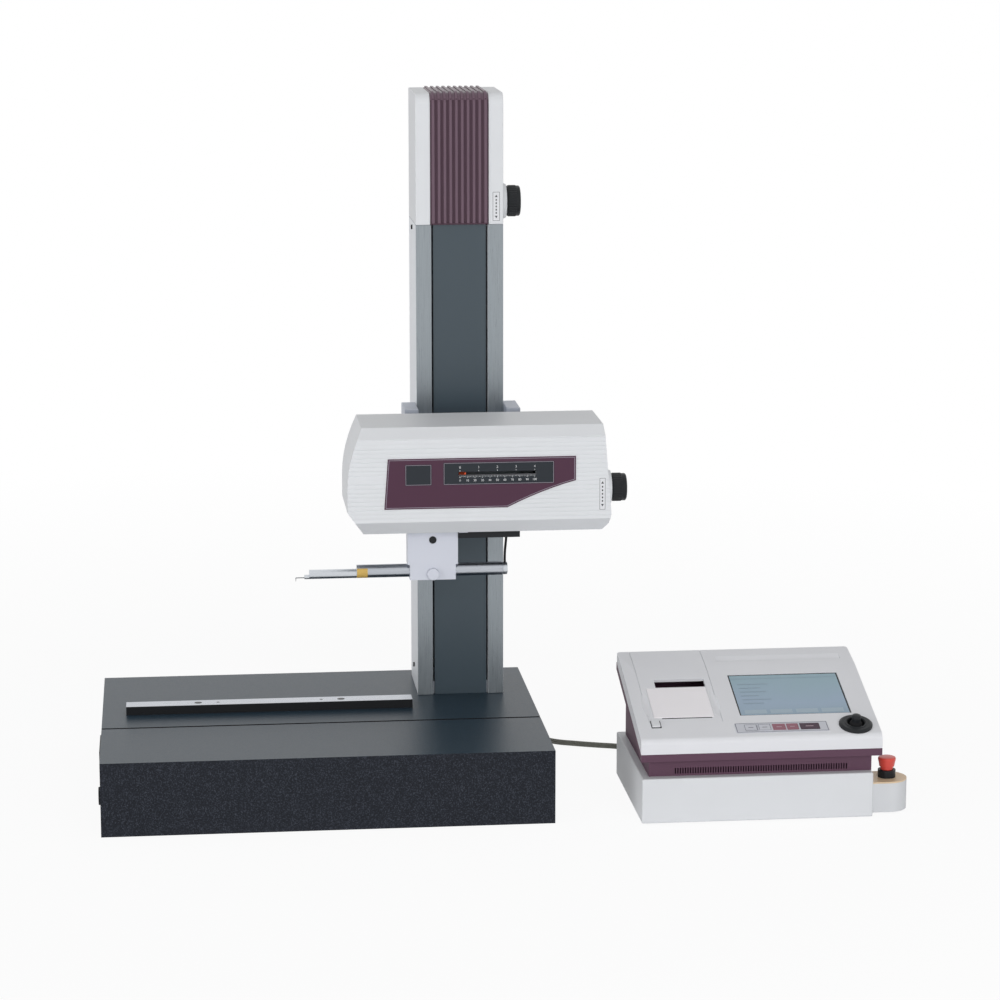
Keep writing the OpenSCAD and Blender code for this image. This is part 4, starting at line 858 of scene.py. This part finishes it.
def buildKeys():
    look = keySet
    film = blockPiece("keyFilmLook", *look["film"])
    bevelPiece(film, look["filmEdge"] * mm, 2)
    settle(film, "film", "key_overlay")
    film.data.materials.append(mats["filmLine"])
    pickFaces(film, lambda f: f.normal.z > squareOn)
    outlineFaces(film, *look["filmLine"])
    laySlope(film)
    smoothPiece(film)
    (low, high), (s0, s1), mark = look["rise"], look["keyS"], look["mark"]
    for i, (start, width, mat) in enumerate(look["keys"]):
        x = look["film"][0][0] + start
        key = blockPiece("membraneKey%d" % i, (x, s0, low), (x + width, s1, high))
        bevelPiece(key, look["keyEdge"] * mm, 3)
        settle(key, mat, "key_overlay", takesPlace=False)
        key.data.materials.append(mats["filmLine" if mat == "film" else mat])
        pickFaces(key, lambda f: f.normal.z > squareOn)
        outlineFaces(key, *look["keyLine"])
        laySlope(key)
        smoothPiece(key)
        (near, far), (m0, m1) = mark["share"], mark["s"]
        line = blockPiece(
            "keyMark%d" % i, (x + width * near, m0, high), (x + width * far, m1, high + mark["thick"])
        )
        bevelPiece(line, mark["edge"] * mm, 1)
        laySlope(line)
        settle(line, "filmLine" if mat == "film" else "paleInk", "key_overlay", takesPlace=False)


buildKeys()


# stop button: mushroom on a narrow neck, with a domed top
stopSet = {
    "at": (753, -202, 54.6),
    "profile": [
        (0, 0), (8.5, 0), (8.6, 4.15), (10.2, 4.4), (10.7, 8), (11.5, 11.6),
        (12.0, 13.8), (12.0, 15.4), (11.3, 16.7), (9.2, 17.4), (0, 17.7),
    ],
    "edge": 0.3, "steps": 72,
}


def buildStop():
    button = turnPiece("stopButtonLook", stopSet["at"], "Z", stopSet["profile"], stopSet["steps"])
    bevelPiece(button, stopSet["edge"] * mm, 2)
    smoothPiece(button, 40)
    settle(button, "stopRed", "estop_button")


buildStop()
print("console done")


# alignment bar: steel, its sides painted near black as painted reflection of the dark granite and shade, ground top
# with its broken edges
barSet = {"edge": 0.8, "topTurn": 0.6}


def buildBar():
    bar = copyNode("alignment_bar", "alignmentBarLook")
    bevelPiece(bar, barSet["edge"] * mm)
    smoothPiece(bar)
    # the black oxide finish on the sides is painted reflection and shade; only the top shows the steel
    settle(bar, "blackOxide", "alignment_bar")
    refinish(bar, "groundSteel", lambda f: f.normal.z > barSet["topTurn"])


buildBar()

# small fittings: tape on the detector's tube, the holder's screws, cable lug on the slider, a dark strip of painted
# shade under the ribs
fittingSet = {
    "tape": {"at": (47.6, -70.3, 315), "span": 14.5, "radius": 9.06, "from": -20, "angle": 105, "thick": 0.06},
    "screws": {"edge": 0.6, "clampTop": 331},
    "lug": {"corners": ((184.6, -87.4, 368.3), (197.5, -84.4, 373.3)), "edge": 1.4, "segments": 4},
    "ribShadeLine": {"corners": ((162.8, 77.7, 766.2), (242.2, 79.9, 768.2)), "edge": 0.3, "segments": 2},
}


def buildFittings():
    look = fittingSet["tape"]
    r = look["radius"]
    tape = turnPiece("tubeTape", look["at"], "X", [(r, 0), (r, look["span"])], 24, look["angle"], look["from"])
    wall = tape.modifiers.new("wall", "SOLIDIFY")
    wall.thickness = look["thick"] * mm
    wall.offset = 1
    bpy.ops.object.modifier_apply(modifier=wall.name)
    smoothPiece(tape, 40)
    settle(tape, "tubeYellow", "detector_tube", takesPlace=False)
    screws = copyNode("holder_screws", "holderScrewsLook")
    bevelPiece(screws, fittingSet["screws"]["edge"] * mm)
    smoothPiece(screws)
    settle(screws, "blackOxide", "holder_screws")
    clampTop = fittingSet["screws"]["clampTop"] * mm
    refinish(screws, "holder", lambda f: f.center.z < clampTop)  # the clamp knob
    # the strip under the ribs is a dark block that stands for the shade below them: painted shade
    for name, key, mat, node in (
        ("cableLug", "lug", "holder", "x_slider"), ("ribShadeLine", "ribShadeLine", "ribShade", "head_rib_strip"),
    ):
        look = fittingSet[key]
        piece = blockPiece(name, *look["corners"])
        bevelPiece(piece, look["edge"] * mm, look["segments"])
        smoothPiece(piece)
        settle(piece, mat, node, takesPlace=False)


buildFittings()
print("small fittings done")


# joystick: raised ring on the bezel, rubber skirt on the stick
stickSet = {
    "at": (293.5, 26, 0),
    "ring": [(12.6, 3.9), (13.0, 4.8), (14.6, 4.8), (15.2, 3.9)],
    "skirt": [(5.6, 7.0), (6.6, 5.6), (7.6, 3.9), (8.6, 2.2), (8.2, 1.4), (5.5, 1.4)],
    "cap": [(6.02, 10.5), (6.4, 10.8), (6.4, 13.0), (5.6, 14.6), (3.4, 15.4), (0, 15.5)],
}


def buildJoystick():
    for name, node in (("ring", "joystick_bezel"), ("skirt", "joystick_stick"), ("cap", "joystick_stick")):
        piece = laySlope(turnPiece("joystick" + name.capitalize(), stickSet["at"], "Z", stickSet[name], 60))
        smoothPiece(piece, 50)
        settle(piece, "rubber" if name == "skirt" else "black", node, takesPlace=False)


buildJoystick()

# fluted sleeves round the two hand knobs
sleeveSet = {
    "rim": 0.7, "fluteFrom": 0.5, "fluteDeep": 0.6, "stepsPerFlute": 6,
    "knobs": [
        {"name": "liftKnobSleeve", "node": "z_knob", "at": (273.0, 120, 794),
         "radius": 21.0, "length": 11.5, "flutes": 40},
        {"name": "traverseKnobSleeve", "node": "x_knob", "at": (392.4, -85.3, 427),
         "radius": 18.5, "length": 12.5, "flutes": 36},
    ],
}


def buildSleeves():
    rim = sleeveSet["rim"]
    for look in sleeveSet["knobs"]:
        r, long = look["radius"], look["length"]
        profile = [(r, 0), (r + rim, rim), (r + rim, long - rim), (r, long)]
        steps = look["flutes"] * sleeveSet["stepsPerFlute"]
        sleeve = turnPiece(look["name"], look["at"], "X", profile, steps)
        axis = Vector(look["at"]) * mm
        for vert in sleeve.data.vertices:
            out = Vector((0, vert.co.y - axis.y, vert.co.z - axis.z))
            if out.length > (r + sleeveSet["fluteFrom"]) * mm:
                wave = 0.5 + 0.5 * math.cos(look["flutes"] * math.atan2(out.z, out.y))
                vert.co -= out.normalized() * wave * sleeveSet["fluteDeep"] * mm
        smoothPiece(sleeve, 30)
        settle(sleeve, "black", look["node"], takesPlace=False)


buildSleeves()
print("joystick and knobs done")

# direction labels: pale film with a dotted arrow, no wording
labelSet = {
    "labels": [
        {"name": "liftLabel", "node": "head_cover", "x": (247.8, 258.6), "z": (770, 811), "y": 80.0},
        {"name": "traverseLabel", "node": "drive_cover", "x": (370, 379), "z": (403.5, 447.5), "y": -124.3},
    ],
    "proud": 0.22, "sunk": 0.05, "edge": 0.1, "margin": 0.5, "line": 0.5,
    "dots": {"count": 5, "pitch": 0.11, "halfWide": 0.9, "halfTall": 1.2},  # pitch is a share of the label's length
    "arrow": {"at": 0.34, "radius": 2.3, "thick": 0.07, "proud": 0.235},
    "inkY": (0.27, 0.2), "inkEdge": 0.02,
}
mats["labelFilm"] = grainedMat("labelFilm", "#DCDDE0", 0.4)  # white film, soft gloss
mats["labelInk"] = grainedMat("labelInk", "#3A3B42", 0.5)  # flat dark print


def buildLabels():
    dots, arrow = labelSet["dots"], labelSet["arrow"]
    for look in labelSet["labels"]:
        (x0, x1), (z0, z1), y = look["x"], look["z"], look["y"]
        film = blockPiece(look["name"], (x0, y - labelSet["proud"], z0), (x1, y + labelSet["sunk"], z1))
        bevelPiece(film, labelSet["edge"] * mm, 1)
        settle(film, "labelFilm", look["node"], takesPlace=False)
        film.data.materials.append(mats["labelInk"])
        pickFaces(film, lambda f: f.normal.y < -squareOn)
        outlineFaces(film, labelSet["margin"], labelSet["line"])
        x, middle, tall = (x0 + x1) / 2, (z0 + z1) / 2, z1 - z0
        front, back = (y - deep for deep in labelSet["inkY"])
        marks = []
        for i in range(dots["count"]):
            z = middle + (i - (dots["count"] - 1) / 2) * tall * dots["pitch"]
            low = (x - dots["halfWide"], front, z - dots["halfTall"])
            high = (x + dots["halfWide"], back, z + dots["halfTall"])
            marks.append(blockPiece("labelDot", low, high))
        for way in (-1, 1):
            at = Vector((x, y - arrow["proud"], middle + way * tall * arrow["at"])) * mm
            bpy.ops.object.select_all(action="DESELECT")
            bpy.ops.mesh.primitive_cylinder_add(
                vertices=3, radius=arrow["radius"] * mm, depth=arrow["thick"] * mm, location=at,
                rotation=(math.pi / 2, 0 if way > 0 else math.pi, 0),
            )
            bpy.ops.object.transform_apply(location=True, rotation=True, scale=True)
            marks.append(bpy.context.object)
        ink = joinPieces(look["name"] + "Ink", marks)
        bevelPiece(ink, labelSet["inkEdge"] * mm, 1)
        settle(ink, "labelInk", look["node"], takesPlace=False)


buildLabels()

# screws on the column's side and back: one head modelled with its socket, then copied
screwSet = {
    "head": [(0, 0.6), (1.5, 0.6), (1.5, 2.0), (2.9, 2.0), (3.2, 1.6), (3.2, 0)],
    "side": {"axis": "X", "turn": (0, 0, math.pi), "places": [(142, 140, 757), (142, 140, 130)]},
    "back": {
        "axis": "Y", "turn": (math.pi, 0, 0),
        "places": [(x, 198, z) for x in (150, 255) for z in (130, 290, 450, 610, 750)],
    },
}


def buildScrews():
    heads = []
    for row in (screwSet["side"], screwSet["back"]):
        first = turnPiece("coverScrew", (0, 0, 0), row["axis"], screwSet["head"], 24)
        first.rotation_euler = row["turn"]
        only(first)
        bpy.ops.object.transform_apply(location=False, rotation=True, scale=False)
        for at in row["places"]:
            piece = first.copy()
            piece.data = first.data.copy()
            bpy.context.scene.collection.objects.link(piece)
            piece.location = Vector(at) * mm
            only(piece)
            bpy.ops.object.transform_apply(location=True, rotation=False, scale=False)
            heads.append(piece)
        bpy.data.objects.remove(first, do_unlink=True)
    screws = joinPieces("columnScrews", heads)
    smoothPiece(screws, 40)
    settle(screws, "blackOxide", "column_back", takesPlace=False)


buildScrews()
print("labels and screws done")


# link cable: the route of the CAD tube, gland to plug
cableSet = {
    "diameter": 8 * mm,
    "length": 0.954,
    "routeMm": [
        (200, 223, 150), (200, 233, 150), (200, 253, 145), (200, 268, 130), (200, 273, 110),
        (200, 273, 80), (200, 273, 50), (195, 273, 25), (180, 273, 10), (160, 273, 5),
        (130, 273, 5), (100, 273, 5), (81, 278, 5), (67, 292, 5), (62, 311, 5), (67, 330, 5),
        (81, 344, 5), (100, 349, 5), (130, 349, 5), (160, 347, 5), (190, 342, 5),
        (220, 332, 5), (247, 317, 5), (270, 298, 5), (289, 275, 5), (302, 250, 5),
        (311, 224, 5), (318, 199, 5), (329, 175, 5), (347, 156, 5), (374, 143, 5),
        (403, 131.5, 5), (433, 121, 5), (460, 107, 5), (483, 86, 6), (500, 61, 10),
        (507, 45, 13), (509, 33, 14), (509, 23, 14),
    ],
}


def sweepTube(name, points, diameter, resolution=6):
    # round tube along a smooth line through the points
    curve = bpy.data.curves.new(name, "CURVE")
    curve.dimensions = "3D"
    curve.bevel_depth = diameter / 2
    curve.bevel_resolution = 4  # round enough at 8 mm
    curve.use_fill_caps = True
    curve.resolution_u = resolution
    line = curve.splines.new("BEZIER")
    line.bezier_points.add(len(points) - 1)
    for knot, place in zip(line.bezier_points, points):
        knot.co = place
        knot.handle_left_type = knot.handle_right_type = "AUTO"
    tube = bpy.data.objects.new(name, curve)
    bpy.context.scene.collection.objects.link(tube)
    return tube


# detector lead: a short stiff bow, fixed at both ends on the slider
leadSet = {
    "diameter": 3.4 * mm,
    "routeMm": [
        (248.75, -70.3, 323.3), (248.75, -70.3, 329), (249.0, -70.3, 338),
        (250.0, -70.3, 349), (250.7, -70.3, 357), (250.75, -70.3, 360.8),
    ],
}


def layCables():
    points = [Vector(p) * mm for p in cableSet["routeMm"]]
    link = sweepTube("linkCableLook", points, cableSet["diameter"])
    settle(link, "cable", "link_cable")
    bow = [Vector(p) * mm for p in leadSet["routeMm"]]
    lead = sweepTube("detectorLeadLook", bow, leadSet["diameter"], 10)
    only(lead)
    bpy.ops.object.convert(target="MESH")
    lead = bpy.context.object
    smoothPiece(lead, 60)
    settle(lead, "rubber", "detector_lead")


layCables()
print("cables laid")

print("all pieces done")
